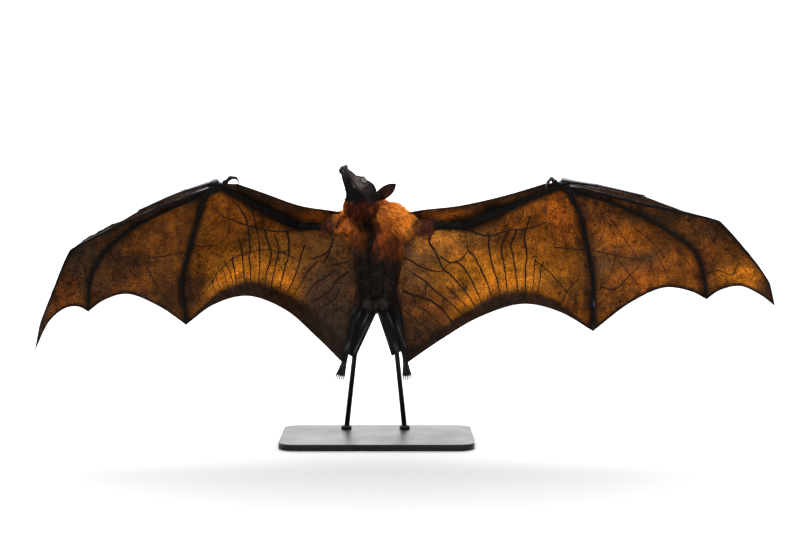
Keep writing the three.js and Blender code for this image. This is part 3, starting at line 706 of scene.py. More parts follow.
LEGS = {
    "left": {"hip": (17, 3, 240), "knee": (32, 13, 195), "ankle": (44, -1, 128), "toes": (47, -9, 104),
             "flap_corner": (23, 5, 133), "flap_heel": (38, 1, 141)},
    "right": {"hip": (-17, 3, 240), "knee": (-34, 13, 195), "ankle": (-50, -1, 128), "toes": (-57, -9, 104),
              "flap_corner": (-34, 5, 129), "flap_heel": (-46, 1, 137)},
}
CROTCH = (0, 5, 203)
# Radii in mm, read evenly along each limb
RADII = {
    "upper_arm": (23, 13, 8.5, 8.5), "forearm": (9.5, 9, 6.5, 4.6, 6.4), "thumb": (3.4, 2.6, 2.6),
    "thumb_claw": (2.1, 1.5, 0.5), "digit2": (3.6, 2, 1.7), "digit2_claw": (1.2, 0.9, 0.4),
    "digit3": (3, 2.6, 2.4, 1.7, 1.3, 0.7), "digit4": (2.9, 2.3, 2.3, 2, 1.5, 0.7),
    "digit5": (3.2, 2.6, 2.8, 2.2, 0.8), "thigh": (13, 10, 7.5), "shank": (7, 5.5, 3.8),
    "foot": (3.7, 4.0, 4.8, 4.2), "toe": (2.0, 1.2, 1.05, 1.1, 0.95), "toe_claw": (1.3, 1.05, 0.45),
}
# Rounded masses in mm, as three radii each
ELBOW = np.array([9.5, 9, 9]) * MM
WRIST = np.array([7.6, 6.2, 6.2]) * MM
HAND = np.array([8.5, 5.5, 9.5]) * MM
TESTES = {"left": (11, -19, 217), "right": (-14, -19, 217)}
TESTIS_RADII = (8.6, 8.8, 9.4)
BETWEEN_TESTES = 5.5 * MM
# The muscle that slopes from the neck to each shoulder: its ends and its radii
SHOULDERS = {
    "left": (((0, -30, 359), (54, -16, 341)), (20, 13)),
    "right": (((-22, -24, 352), (-60, -18, 344)), (19, 14)),
}
TOES = 5
# In mm: how far apart the toes start and end, how far they start behind and end before the foot's ball, and
# how far they curl
TOE = {"start_apart": 1.8, "end_apart": 3.0, "behind": 3, "before": 12.5, "curl": 2.6}
# The narrow flaps of skin inside the legs end this share of the way from ankle to knee
FLAP_END = 0.12
FLAP_THICKNESS = 2.2 * MM
PLEAT_HEIGHT = 1.5 * MM
# Finger joints: how far along each finger its knuckles stand, as shares of its length
KNUCKLES = {
    "digit2": (0.0, 0.42),
    "digit3": (0.0, 0.42, 0.76),
    "digit4": (0.0, 0.38, 0.68),
    "digit5": (0.0, 0.42, 0.7),
}


def curve(points, count=500):
    """A smooth line through places in mm, as places in metres spaced evenly along it"""
    p = np.asarray(points, float) * MM
    if len(p) == 2:
        return p[0] + np.linspace(0, 1, count)[:, None] * (p[1] - p[0])
    p = np.concatenate([[2 * p[0] - p[1]], p, [2 * p[-1] - p[-2]]])
    w = np.linspace(0, 1, 80)[:, None]
    stretches = []
    for a, b, c, d in zip(p[:-3], p[1:-2], p[2:-1], p[3:]):
        ab, bc, cd = (max(np.linalg.norm(x) ** 0.5, 1e-6) for x in (b - a, c - b, d - c))
        leave = ((b - a) / ab - (c - a) / (ab + bc) + (c - b) / bc) * bc
        arrive = ((c - b) / bc - (d - b) / (bc + cd) + (d - c) / cd) * bc
        stretches.append(bend(b, c, leave, arrive, w))
    return evenly(np.concatenate(stretches), count)


def bones(points, count=500):
    """A line that bends sharply at each of its places in mm"""
    return evenly(np.asarray(points, float) * MM, count)


def evenly(line, count):
    """The same line with its places spaced evenly"""
    length = np.concatenate([[0], np.cumsum(np.linalg.norm(np.diff(line, axis=0), axis=1))])
    return np.stack([np.interp(np.linspace(0, length[-1], count), length, line[:, k]) for k in range(3)], 1)


def length_of(line):
    return np.linalg.norm(np.diff(line, axis=0), axis=1).sum()


def at(line, share):
    """Places at shares of the way along an even line"""
    where = np.asarray(share, float) * (len(line) - 1)
    return np.stack([np.interp(where, np.arange(len(line)), line[:, k]) for k in range(3)], -1)


def jointed(points, count=500):
    """A finger's line: nearly straight bones that turn at the joints"""
    return evenly(0.3 * curve(points, count) + 0.7 * bones(points, count), count)


def limb(points, radii, count, sides, reference=(0, 1, 0), line=curve, knuckles=()):
    """A limb through joints in mm, with its radius read from samples and swollen at its knuckles"""
    path = line(points, count)
    share = np.linspace(0, 1, count)
    length = length_of(path) / MM
    radius = through(radii, share) * MM
    for knuckle in knuckles:
        radius = radius * (1 + 0.4 * hump((share - knuckle) * length, 4.5))
    return tube(path, radius, sides, reference)


FINGER_LINES = {"digit2": curve, "digit3": jointed, "digit4": curve, "digit5": curve}
trunk_shells = [body_shell(0.36, 1.0, 84, 120)]
for centre in TESTES.values():
    trunk_shells.append(ball(np.array(centre) * MM, np.array(TESTIS_RADII) * MM))
trunk_shells.append(ball(np.mean(list(TESTES.values()), axis=0) * MM, [BETWEEN_TESTES] * 3))
hand_shells = []
toes_alone = []
toe_lines = {}
for side_name, wing in WINGS.items():
    leg = LEGS[side_name]
    trunk_shells.append(limb(*SHOULDERS[side_name], 30, 28))
    trunk_shells.append(limb((wing["shoulder"], wing["elbow"]), RADII["upper_arm"], 60, 28))
    trunk_shells.append(limb((wing["elbow"], wing["wrist"]), RADII["forearm"], 80, 24))
    elbow = np.array(wing["elbow"]) * MM
    trunk_shells.append(ball(elbow + (0, 1 * MM, 0), ELBOW))
    trunk_shells.append(limb((leg["hip"], leg["knee"]), RADII["thigh"], 30, 24))
    trunk_shells.append(limb((leg["knee"], leg["ankle"]), RADII["shank"], 40, 20))
    hand_shells.append(ball(np.array(wing["wrist"]) * MM, WRIST))
    palm = np.mean([wing[finger][0] for finger in FINGER_LINES], axis=0) * MM
    hand_shells.append(ball(palm, HAND))
    hand_shells.append(limb(wing["thumb"], RADII["thumb"], 24, 16, (1, 0, 0), knuckles=(0.0, 0.5)))
    forearm = bones((wing["elbow"], wing["wrist"]))
    hand_shells.append(tube(at(forearm, np.linspace(0.93, 1, 8)), np.linspace(5.4, 6.2, 8) * MM, 20))
    for finger, line in FINGER_LINES.items():
        stub = at(line(wing[finger]), np.linspace(0, 0.12, 14))
        hand_shells.append(tube(stub, through(RADII[finger], np.linspace(0, 0.12, 14)) * MM * 1.08, 14))
    ankle, toes = np.array(leg["ankle"]) * MM, np.array(leg["toes"]) * MM
    reach = unit(toes - ankle)
    across = unit(np.array([1, 0, 0]) - reach * reach[0])
    sole = np.cross(across, reach)
    sole = sole if sole[1] < 0 else -sole
    knuckle = ankle + (toes - ankle) * 0.55
    foot = [ankle - reach * 6 * MM, ankle, (ankle + knuckle) / 2, knuckle]
    hand_shells.append(tube(foot, np.array(RADII["foot"]) * MM, 18, (1, 0, 0)))
    toe_lines[side_name] = []
    for toe in range(TOES):
        fan = toe - (TOES - 1) / 2
        short = 1 - 0.05 * abs(fan)
        start = knuckle + across * fan * TOE["start_apart"] * MM - reach * TOE["behind"] * MM
        end = knuckle + across * fan * TOE["end_apart"] * MM + reach * TOE["before"] * MM * short
        middle = start + (end - start) * 0.55 - sole * TOE["curl"] * MM
        joints = np.array([start, middle, end]) / MM
        toes_alone.append(limb(joints, RADII["toe"], 20, 12, (1, 0, 0), knuckles=(0.55, 1)))
        toe_lines[side_name].append((end, reach, sole))
trunk_corners, trunk_faces = fuse(trunk_shells, TRUNK_VOXEL, 5)
hand_corners, hand_faces = fuse(hand_shells, HAND_VOXEL, 5)
combine(skin, make_mesh("trunk", trunk_corners, trunk_faces))
combine(skin, make_mesh("hands_and_feet", hand_corners, hand_faces))
for toe_shell in toes_alone:
    combine(skin, make_mesh("toe", *toe_shell))


# ---- Wing membranes, finger bones and veins ----
# Each wing is one thin elastic skin stretched between the arm, four long fingers, flank and ankle.
# It thickens to a fillet along each bone, ripples a little, and carries raised blood vessels.
MEMBRANE_HALF = 0.28 * MM
RIM = 0.2 * MM
RIM_WIDTH = 1.4 * MM
# The rear edge starts at the heel, this share of the way from ankle to toes
HEEL = 0.27
CELL = 3.6 * MM
# The fields of the membrane, and the number that each goes by in its measures
FIELDS = {"front": 0, "between23": 1, "between34": 2, "between45": 3, "body": 4}
# How far, in mm, the middle of each field billows to the back
BILLOW = {"front": -4, "between23": 0, "between34": 4, "between45": 10, "body": 14}
VEIN_SIDES = 6
# Blood vessels of each wing: the radius in mm, then x and z of the places it runs through
VEINS = {
    "right": (
        (0.95, (-122, 333), (-141, 328), (-162, 328), (-184, 333), (-203, 338), (-221, 346),
         (-237, 352), (-245, 359)),
        (0.8, (-119, 335), (-107, 338), (-91, 337), (-79, 332), (-69, 319)),
        (1.1, (-68, 316), (-71, 305), (-77, 296), (-88, 289), (-100, 284)),
        (0.8, (-72, 302), (-76, 291), (-83, 279)),
        (0.7, (-42, 282), (-57, 278), (-71, 274), (-82, 271)),
        (0.9, (-142, 325), (-140, 313), (-140, 301), (-141, 288), (-145, 273), (-150, 257), (-154, 239)),
        (0.8, (-162, 321), (-158, 311), (-156, 297), (-159, 284), (-162, 270), (-165, 257), (-168, 239)),
        (0.85, (-176, 330), (-173, 313), (-169, 297), (-169, 285), (-172, 273), (-176, 260), (-178, 239)),
        (0.8, (-198, 370), (-193, 358), (-190, 341), (-187, 322), (-186, 307), (-186, 288),
         (-186, 273), (-189, 239)),
        (0.85, (-217, 373), (-209, 361), (-204, 350), (-202, 335), (-201, 316), (-201, 297),
         (-203, 282), (-201, 266), (-200, 239)),
        (0.75, (-217, 316), (-214, 301), (-213, 285), (-212, 270), (-209, 239)),
        (0.7, (-228, 287), (-228, 279), (-226, 266), (-221, 240)),
        (0.55, (-241, 279), (-236, 271), (-232, 262), (-226, 239)),
        (0.55, (-244, 270), (-241, 260), (-234, 237)),
        (0.4, (-254, 256), (-251, 246), (-246, 232)),
        (0.4, (-260, 248), (-257, 239), (-252, 226)),
        (0.6, (-131, 282), (-144, 290), (-158, 294), (-170, 297), (-184, 297), (-200, 294),
         (-215, 290), (-228, 284), (-240, 274), (-252, 262), (-260, 249), (-271, 232)),
        (0.5, (-290, 273), (-279, 263), (-268, 259), (-260, 249)),
        (0.85, (-114, 305), (-117, 297), (-121, 287), (-124, 276), (-128, 263), (-133, 251), (-141, 234)),
        (0.75, (-94, 279), (-105, 268), (-114, 256), (-121, 242), (-130, 229)),
        (0.85, (-72, 260), (-86, 251), (-100, 242), (-108, 231), (-117, 217)),
        (1.05, (-45, 265), (-55, 257), (-65, 248), (-71, 237), (-80, 228), (-91, 222), (-102, 214)),
        (0.7, (-58, 238), (-66, 222), (-76, 214), (-88, 206)),
        (0.65, (-48, 212), (-63, 203), (-74, 197), (-83, 189)),
        (0.65, (-286, 308), (-268, 306), (-252, 307), (-241, 314), (-234, 322), (-230, 335), (-229, 350)),
        (0.5, (-252, 367), (-241, 361), (-238, 353), (-241, 344), (-254, 333)),
        (0.5, (-51, 245), (-63, 246), (-72, 239)),
        (0.6, (-354, 287), (-322, 292), (-289, 301)),
        (0.6, (-359, 271), (-346, 246), (-332, 221)),
        (0.4, (-378, 341), (-399, 300), (-414, 252)),
        (0.4, (-428, 293), (-436, 245)),
        (0.4, (-460, 290), (-474, 255), (-484, 225)),
    ),
    "left": (
        (1.0, (140, 332), (157, 325), (169, 322), (182, 322), (194, 327), (206, 330), (220, 332),
         (234, 333), (244, 336), (258, 342)),
        (0.8, (84, 322), (92, 332), (104, 334), (123, 332), (141, 330)),
        (0.95, (82, 322), (82, 311), (89, 299), (95, 287), (100, 276), (104, 268), (114, 260),
         (124, 249), (135, 237), (144, 225), (152, 212)),
        (0.8, (100, 288), (109, 282), (118, 278), (126, 280), (135, 287), (141, 296), (141, 307)),
        (0.55, (104, 268), (112, 276), (118, 279)),
        (0.85, (123, 280), (132, 274), (140, 265), (146, 256), (152, 243), (158, 231), (166, 212)),
        (0.85, (144, 297), (154, 287), (160, 274), (166, 262), (171, 253), (176, 239), (182, 220)),
        (0.9, (176, 322), (175, 307), (177, 293), (180, 279), (185, 263), (189, 251), (194, 226)),
        (0.85, (208, 330), (200, 319), (196, 308), (196, 294), (199, 279), (202, 263), (205, 235)),
        (0.9, (217, 330), (214, 319), (210, 307), (213, 294), (216, 279), (218, 266), (222, 235)),
        (0.9, (238, 353), (233, 335), (231, 319), (233, 304), (235, 288), (234, 270), (234, 232)),
        (0.5, (228, 364), (224, 350), (214, 338), (203, 328)),
        (0.45, (211, 359), (206, 346), (196, 328)),
        (0.6, (250, 290), (248, 276), (247, 262), (245, 235)),
        (0.65, (262, 280), (258, 270), (257, 256), (253, 235)),
        (0.6, (248, 282), (259, 274), (270, 265), (279, 254), (290, 242), (300, 231), (312, 217)),
        (0.6, (315, 254), (304, 242), (298, 232), (287, 212)),
        (0.85, (42, 288), (55, 282), (67, 274), (82, 268), (95, 264), (104, 266)),
        (0.85, (56, 263), (69, 254), (79, 245), (89, 235), (100, 226), (110, 218), (121, 209), (135, 194)),
        (0.65, (109, 239), (121, 229), (131, 218), (141, 208)),
        (1.3, (42, 235), (55, 228), (67, 225), (79, 220), (92, 212), (103, 203), (118, 184)),
        (0.6, (79, 246), (76, 239), (76, 228)),
        (0.5, (89, 237), (81, 231), (76, 226)),
        (0.65, (65, 209), (78, 201), (89, 191), (106, 175)),
        (0.55, (42, 203), (58, 191), (73, 178), (87, 167)),
        (0.45, (275, 366), (268, 353), (270, 341), (272, 328)),
        (0.7, (277, 304), (308, 302), (330, 301), (371, 292), (406, 285)),
        (0.7, (348, 242), (372, 238), (388, 252), (411, 276)),
        (0.45, (344, 365), (353, 339), (343, 308)),
        (0.45, (364, 347), (386, 316), (411, 281)),
        (0.45, (400, 335), (433, 308), (454, 281)),
        (0.5, (371, 292), (367, 268), (356, 245)),
        (0.45, (436, 294), (450, 268), (462, 240)),
        (0.45, (379, 281), (403, 252), (427, 233)),
        (0.4, (470, 300), (487, 276), (503, 250)),
        (0.6, (508, 262), (530, 268), (552, 262), (560, 278)),
        (0.4, (531, 309), (562, 282), (587, 246)),
    ),
}
WANDER = 0.7 * MM
VEIN_WIDER = 1.8
VEIN_THINNEST = 0.62
# Each vessel runs on past its last place by this many mm
VEIN_TAIL = 4


def ripples(points, scale, seed, waves=5):
    """A smooth wandering value between about -1 and 1, with features of about scale metres"""
    draw = np.random.default_rng(seed)
    total = np.zeros(len(points))
    for _ in range(waves):
        direction = unit(draw.normal(size=3)) * draw.uniform(0.7, 1.6) * 2 * np.pi / scale
        total += np.sin(points @ direction + draw.uniform(0, 2 * np.pi))
    return total / waves**0.5 / 0.9


def filled(root, tip, near, far, u, v):
    """A grid of places filled in between four lines, with the four lines themselves"""
    near_line, far_line = at(near, v[:, 0, 0])[:, None], at(far, v[:, 0, 0])[:, None]
    root_line, tip_line = at(root, u[0, :, 0])[None], at(tip, u[0, :, 0])[None]
    rail = near_line * (1 - u) + far_line * u
    cross = root_line * (1 - v) + tip_line * v
    flat = near[0] * (1 - u) * (1 - v) + far[0] * u * (1 - v) + near[-1] * (1 - u) * v + far[-1] * u * v
    return rail + cross - flat, (near_line, far_line, root_line, tip_line)


def grid_normals(middle):
    """The way a grid of places faces at each of them"""
    return unit(np.cross(np.gradient(middle, axis=1), np.gradient(middle, axis=0)))


def wing_field(name, root, tip, near, far, near_radius, far_radius):
    """One field of the membrane between four edges: its shell, its middle grid and its measures"""
    width = max(length_of(at(tip, np.linspace(0, 1, 60))), length_of(root))
    height = length_of(at(far, np.linspace(0, 1, 60)))
    columns, rows = int(width / CELL) + 4, int(height / CELL) + 4
    u = np.linspace(0, 1, columns)[None, :, None]
    u = u - 0.09 * np.sin(2 * np.pi * u)
    v = np.linspace(0, 1, rows)[:, None, None]
    middle, edges = filled(root, tip, near, far, u, v)
    fill = np.sin(np.pi * u[..., 0]) * np.sin(np.pi * v[..., 0])
    middle[..., 1] += BILLOW[name] * MM * fill
    normal = grid_normals(middle)
    normal = normal * np.where(normal[..., 1:2] > 0, -1, 1)
    to_near, to_far, to_root, to_tip = (np.linalg.norm(middle - line, axis=2) for line in edges)
    fillet = 0
    for distance, samples in ((to_near, near_radius), (to_far, far_radius)):
        bone = (through(samples, v[:, 0, 0]) * MM)[:, None]
        fillet = fillet + bone * 0.6 * hump(distance / bone, 1.5)
    half = (MEMBRANE_HALF + fillet + RIM * hump(to_tip, RIM_WIDTH))[..., None]
    clear = np.clip(np.minimum(np.minimum(to_near, to_far), to_tip) / (14 * MM), 0, 1)
    flat_points = middle.reshape(-1, 3)
    folds = ripples(flat_points * (1, 0.3, 0.45), 13 * MM, 5).reshape(rows, columns)
    swell = ripples(flat_points, 70 * MM, 9).reshape(rows, columns)
    combing = np.sin(to_tip / MM * 2 * np.pi / 5.5 + 2.5 * swell)
    combing = combing * hump(to_tip / MM - 38, 26)
    middle = middle + normal * ((0.5 * folds + 1.3 * swell + 0.22 * combing) * MM * clear)[..., None]
    corners, faces = sheet_shell(middle + normal * half, middle - normal * half)
    field = np.full_like(to_tip, FIELDS[name])
    measures = np.stack([np.minimum(to_near, to_far), to_tip, to_root, field], -1)
    return (corners, faces), middle, measures


def part_line(line, start, end):
    """The stretch of a line between two shares of the way"""
    return at(line, np.linspace(start, end, 300))


def thin(places):
    """The radii, in mm, of an edge that has no bone in it"""
    return [0.3] * places


skin_slots = {"hide": 0, "membrane": 1, "vein": 2}
wing_points = []
wing_measures = []


def skin_part(shell, slot_name):
    """One closed part of the skin, marked with the finish it will get"""
    part = make_mesh("skin_part", *shell)
    count = len(part.data.polygons)
    part.data.polygons.foreach_set("material_index", np.full(count, skin_slots[slot_name], np.int32))
    return part


def joined(parts):
    """All parts joined into the first"""
    for part in parts[1:]:
        combine(parts[0], part)
    return parts[0]


for side_name, wing in WINGS.items():
    leg = LEGS[side_name]
    digits = {number: FINGER_LINES[f"digit{number}"](wing[f"digit{number}"]) for number in (2, 3, 4, 5)}
    arm = bones((wing["shoulder"], wing["elbow"], wing["wrist"]), 900)
    ends = {number: line[-1] / MM for number, line in digits.items()}
    heel = np.array(leg["ankle"]) * (1 - HEEL) + np.array(leg["toes"]) * HEEL
    waist = (leg["hip"][0] * 1.6, -8, 285)
    flank = curve((wing["shoulder"], waist, leg["hip"], leg["knee"], leg["ankle"], heel))
    front_edge = curve(wing["leading_edge"])
    fields = {
        "body": (
            bones((wing["shoulder"], wing["elbow"], at(arm, 0.96) / MM, wing["digit5"][0])),
            curve((heel, *wing["rear_edge"], ends[5])),
            flank, digits[5], thin(4), RADII["digit5"]),
        "between45": (
            bones((wing["digit4"][0], wing["digit5"][0])),
            curve((ends[4], *wing["edge45"], ends[5])),
            digits[4], digits[5], RADII["digit4"], RADII["digit5"]),
        "between34": (
            bones((wing["digit3"][0], wing["digit4"][0])),
            curve((ends[3], *wing["edge34"], ends[4])),
            digits[3], digits[4], RADII["digit3"], RADII["digit4"]),
        "between23": (
            bones((wing["digit2"][0], wing["digit3"][0])),
            bones((ends[2], at(digits[3], 0.5) / MM)),
            digits[2], part_line(digits[3], 0, 0.5), RADII["digit2"], RADII["digit3"]),
        "front": (
            arm, front_edge,
            bones((wing["shoulder"], wing["leading_edge"][0])),
            bones((wing["wrist"], wing["leading_edge"][-1])), thin(4), thin(4)),
    }
    middles, parts = [], []
    for name, edges in fields.items():
        shell, middle, measures = wing_field(name, *edges)
        parts.append(skin_part(shell, "membrane"))
        middles.append(middle)
        wing_points.append(middle.reshape(-1, 3))
        wing_measures.append(measures.reshape(-1, measures.shape[-1]))
    for name in ("digit3", "digit4", "digit5", "digit2"):
        finger = limb(wing[name], RADII[name], 110, 12, line=FINGER_LINES[name], knuckles=KNUCKLES[name])
        parts.append(skin_part(finger, "hide"))
    whole_wing = joined(parts)

    # Blood vessels lie in the membrane and stand out on both faces
    quads, count = [], 0
    for middle in middles:
        rows, columns = middle.shape[:2]
        quads.append(grid_quads(np.arange(rows * columns).reshape(rows, columns)) + count)
        count += rows * columns
    places = np.concatenate([middle.reshape(-1, 3) for middle in middles])
    surface = BVHTree.FromPolygons(places.tolist(), np.concatenate(quads).tolist())
    draw = np.random.default_rng(31 if side_name == "left" else 32)
    vessels = []
    for radius, *points in VEINS[side_name]:
        (ax, az), (bx, bz) = points[-2:]
        onward = VEIN_TAIL / math.hypot(bx - ax, bz - az)
        points = [*points, (bx + (bx - ax) * onward, bz + (bz - az) * onward)]
        line = curve([(x, 0, z) for x, z in points], 60)
        length = length_of(line)
        line = evenly(line, max(8, int(length / (2.6 * MM))))
        share = np.linspace(0, 1, len(line))
        sway = ripples(line, 24 * MM, int(draw.integers(1, 10**6))) * WANDER * np.sin(np.pi * share) * 0.5
        line[:, 0] += sway
        line[:, 2] += sway * 0.4
        hits = [surface.ray_cast(Vector((x, -0.3, z)), Vector((0, 1, 0)))[0] for x, _, z in line]
        kept = np.array([hit for hit in hits if hit is not None])
        if len(kept) < 5:
            continue
        thick = max(radius * VEIN_WIDER, VEIN_THINNEST)
        taper = (1.0 - 0.4 * np.linspace(0, 1, len(kept)) ** 1.5) * thick * MM
        vessels.append(skin_part(tube(kept, taper, VEIN_SIDES, flat=0.75), "vein"))
    combine(whole_wing, joined(vessels))
    combine(skin, whole_wing)

for side_name, leg in LEGS.items():
    above = np.array(leg["ankle"]) * (1 - FLAP_END) + np.array(leg["knee"]) * FLAP_END
    root, tip = bones((leg["hip"], CROTCH)), bones((above, leg["flap_heel"], leg["flap_corner"]))
    near, far = bones((leg["hip"], leg["knee"], above)), bones((CROTCH, leg["flap_corner"]))
    u, v = np.linspace(0, 1, 34)[None, :, None], np.linspace(0, 1, 70)[:, None, None]
    flap, _ = filled(root, tip, near, far, u, v)
    normal = grid_normals(flap)
    pleats = np.sin(u * 17 + 1.2 * np.sin(3 * v)) * np.sin(np.pi * np.clip(u * 1.15, 0, 1))
    flap = flap + normal * PLEAT_HEIGHT * pleats
    thick = FLAP_THICKNESS / 2 * (1 - 0.55 * u**2)
    combine(skin, skin_part(sheet_shell(flap + normal * thick, flap - normal * thick), "hide"))


# ---- Markings of skin and coat, with painted light and shade ----
# A charcoal head with a greyer muzzle, a golden orange mantle with a dark throat, and a black-brown belly.
# The membranes run from golden orange to brown, with painted shade by the bones and a darker band along the
# rear edge.
# Painted highlights lie on cheeks, lips, nose, flaps, feet and leading edges, and a painted golden glow in
# the membranes.
CHARCOAL = srgb(34, 30, 29)
MUZZLE_GREY = srgb(78, 70, 70)
PAINTED_CHEEK_SHEEN = srgb(118, 105, 104)
THROAT_BLACK = srgb(13, 11, 10)
ORANGE = srgb(238, 148, 50)
RUST = srgb(98, 46, 24)
BELLY_DARK = srgb(32, 25, 21)
BACK_DARK = srgb(48, 34, 26)
ARM_BROWN = srgb(78, 42, 30)
BARE_BLACK = srgb(9, 8, 8)
LID_GREY = srgb(52, 45, 47)
LID_SHADE = srgb(24, 20, 20)
LID_RIM = srgb(112, 103, 105)
NOSE_GREY_AND_HIGHLIGHT = srgb(80, 75, 78)
PAINTED_NOSTRIL_HIGHLIGHT = srgb(118, 114, 118)
PAINTED_LIP_HIGHLIGHT = srgb(122, 114, 114)
PAINTED_RECESS_SHADE = srgb(8, 7, 7)
EAR_OUTSIDE = srgb(24, 20, 20)
EAR_INSIDE = srgb(40, 20, 16)
SLATE = srgb(24, 23, 23)
PAINTED_FOOT_SHEEN = srgb(24, 22, 22)
PAINTED_PLEAT_HIGHLIGHT = srgb(66, 64, 64)
# A painted highlight: light caught along the top of each second finger and on the membrane beside it
PAINTED_EDGE_HIGHLIGHT = srgb(150, 146, 156)
WING_GOLD = srgb(142, 88, 25)
WING_BROWN = srgb(74, 44, 21)
FRONT_BROWN = srgb(44, 30, 22)
OUTER_BROWN = {"left": srgb(54, 43, 38), "right": srgb(54, 43, 38) * 1.6}
# The dark band along the rear edge, with a golden arc of painted glow inside it: x across the wings, and the
# width in mm
BAND_WIDTHS = ((-290, -250, -190, -110, -60, 60, 130, 200, 270, 320), (5, 15, 27, 37, 30, 14, 19, 25, 17, 6))
PAINTED_GOLD_GLOW = srgb(222, 150, 38)
EDGE_BAND = srgb(46, 30, 21)
# The colour of the painted shade beside the bones, the arm and the leading edge
BONE_SHADE = srgb(15, 11, 9)
# The whole membrane is toned to this, and the right wing stands a little more in shade
MEMBRANE_TINT = (0.93, 0.82, 0.66)
RIGHT_SHADE = 0.92
PATCH_TINT = (0.88, 1.05, 1.0)
# Marks on the breast: x and z of the middle, the two radii in mm, the colour and its strength
BREAST_MARKS = (
    ((13, 372), (16, 12), (214, 116, 50), 0.9),
    ((47, 352), (21, 20), (238, 138, 48), 1.0),
    ((11, 332), (17, 18), (166, 82, 33), 0.9),
    ((-54, 344), (14, 26), (228, 124, 52), 0.95),
    ((-32, 330), (12, 18), (140, 70, 30), 0.8),
    ((-30, 365), (28, 21), (62, 24, 13), 1.0),
    ((-10, 358), (12, 20), (92, 38, 18), 0.95),
    ((24, 313), (21, 14), (112, 52, 23), 0.9),
    ((-42, 305), (14, 12), (92, 50, 28), 0.6),
    ((28, 323), (7, 10), (66, 33, 17), 0.9),
    ((-15, 342), (15, 20), (8, 4, 3), 1.0),
    ((-8, 312), (9, 36), (14, 7, 5), 1.0),
)
# Patches on the wings: x and z of the middle, the two radii in mm, the colour and its strength
PATCHES = {
    "right": (
        ((-80, 225), (55, 85), (100, 70, 60), 0.9),
        ((-72, 160), (45, 45), (46, 36, 33), 0.9),
        ((-75, 305), (45, 30), (128, 84, 44), 0.7),
        ((-215, 275), (60, 26), (184, 118, 36), 0.9),
        ((-150, 285), (40, 30), (178, 118, 50), 0.8),
        ((-215, 365), (40, 26), (176, 100, 32), 0.8),
        ((-262, 325), (40, 40), (150, 88, 30), 0.8),
        ((-275, 240), (35, 30), (122, 72, 30), 0.8),
        ((-345, 355), (32, 20), (158, 90, 28), 0.9),
        ((-355, 305), (34, 22), (150, 86, 30), 0.9),
        ((-392, 280), (44, 22), (66, 42, 30), 0.9),
        ((-345, 262), (38, 16), (128, 74, 32), 0.8),
        ((-320, 225), (34, 28), (58, 38, 28), 0.8),
        ((-400, 245), (40, 14), (112, 64, 30), 0.7),
        ((-480, 235), (18, 24), (168, 90, 38), 1.0),
        ((-452, 274), (30, 36), (108, 74, 52), 0.9),
        ((-490, 300), (45, 45), (58, 48, 48), 0.9),
        ((-515, 185), (22, 40), (88, 64, 62), 0.9),
        ((-420, 335), (60, 22), (56, 44, 42), 0.8),
        ((-60, 212), (34, 50), (80, 56, 46), 0.9),
        ((-62, 143), (22, 18), (30, 24, 23), 0.9),
    ),
    "right_front": (
        ((-98, 353), (24, 9), (150, 82, 27), 1.0),
        ((-150, 366), (46, 8), (100, 60, 32), 0.7),
    ),
    "left": (
        ((98, 324), (44, 26), (222, 148, 60), 1.0),
        ((130, 300), (34, 26), (190, 120, 58), 0.9),
        ((62, 270), (36, 42), (132, 92, 68), 0.9),
        ((152, 320), (22, 14), (104, 74, 50), 0.7),
        ((190, 262), (90, 30), (214, 140, 40), 0.9),
        ((70, 178), (45, 45), (64, 42, 28), 0.9),
        ((57, 143), (22, 18), (32, 23, 17), 0.9),
        ((82, 206), (26, 20), (160, 92, 36), 0.8),
        ((205, 368), (50, 18), (184, 108, 36), 0.8),
        ((284, 352), (20, 32), (194, 104, 32), 0.9),
        ((255, 285), (24, 40), (172, 104, 34), 0.8),
        ((380, 322), (42, 32), (186, 106, 32), 0.9),
        ((410, 280), (42, 20), (94, 60, 38), 0.9),
        ((345, 272), (26, 34), (118, 82, 58), 0.7),
        ((408, 254), (48, 14), (176, 98, 30), 0.9),
        ((352, 215), (18, 26), (140, 82, 32), 0.8),
        ((500, 284), (34, 26), (160, 90, 32), 0.8),
        ((470, 320), (34, 14), (110, 66, 34), 0.8),
        ((572, 262), (34, 20), (226, 138, 34), 1.0),
        ((524, 336), (36, 20), (82, 52, 32), 0.9),
        ((552, 298), (26, 24), (104, 62, 28), 0.8),
        ((607, 238), (14, 26), (92, 62, 52), 0.9),
        ((425, 355), (70, 14), (54, 38, 28), 0.9),
    ),
    "left_front": (
        ((112, 358), (38, 9), (158, 88, 28), 1.0),
        ((190, 380), (50, 7), (96, 58, 30), 0.7),
    ),
}


def fade(value, low, high):
    """Rises smoothly from 0 at low to 1 at high"""
    share = np.clip((np.asarray(value, float) - low) / (high - low), 0, 1)
    return share * share * (3 - 2 * share)


def lay(under, over, share):
    """Lays one colour over another, by a share for each corner"""
    return under + (np.asarray(over) - under) * share[:, None]


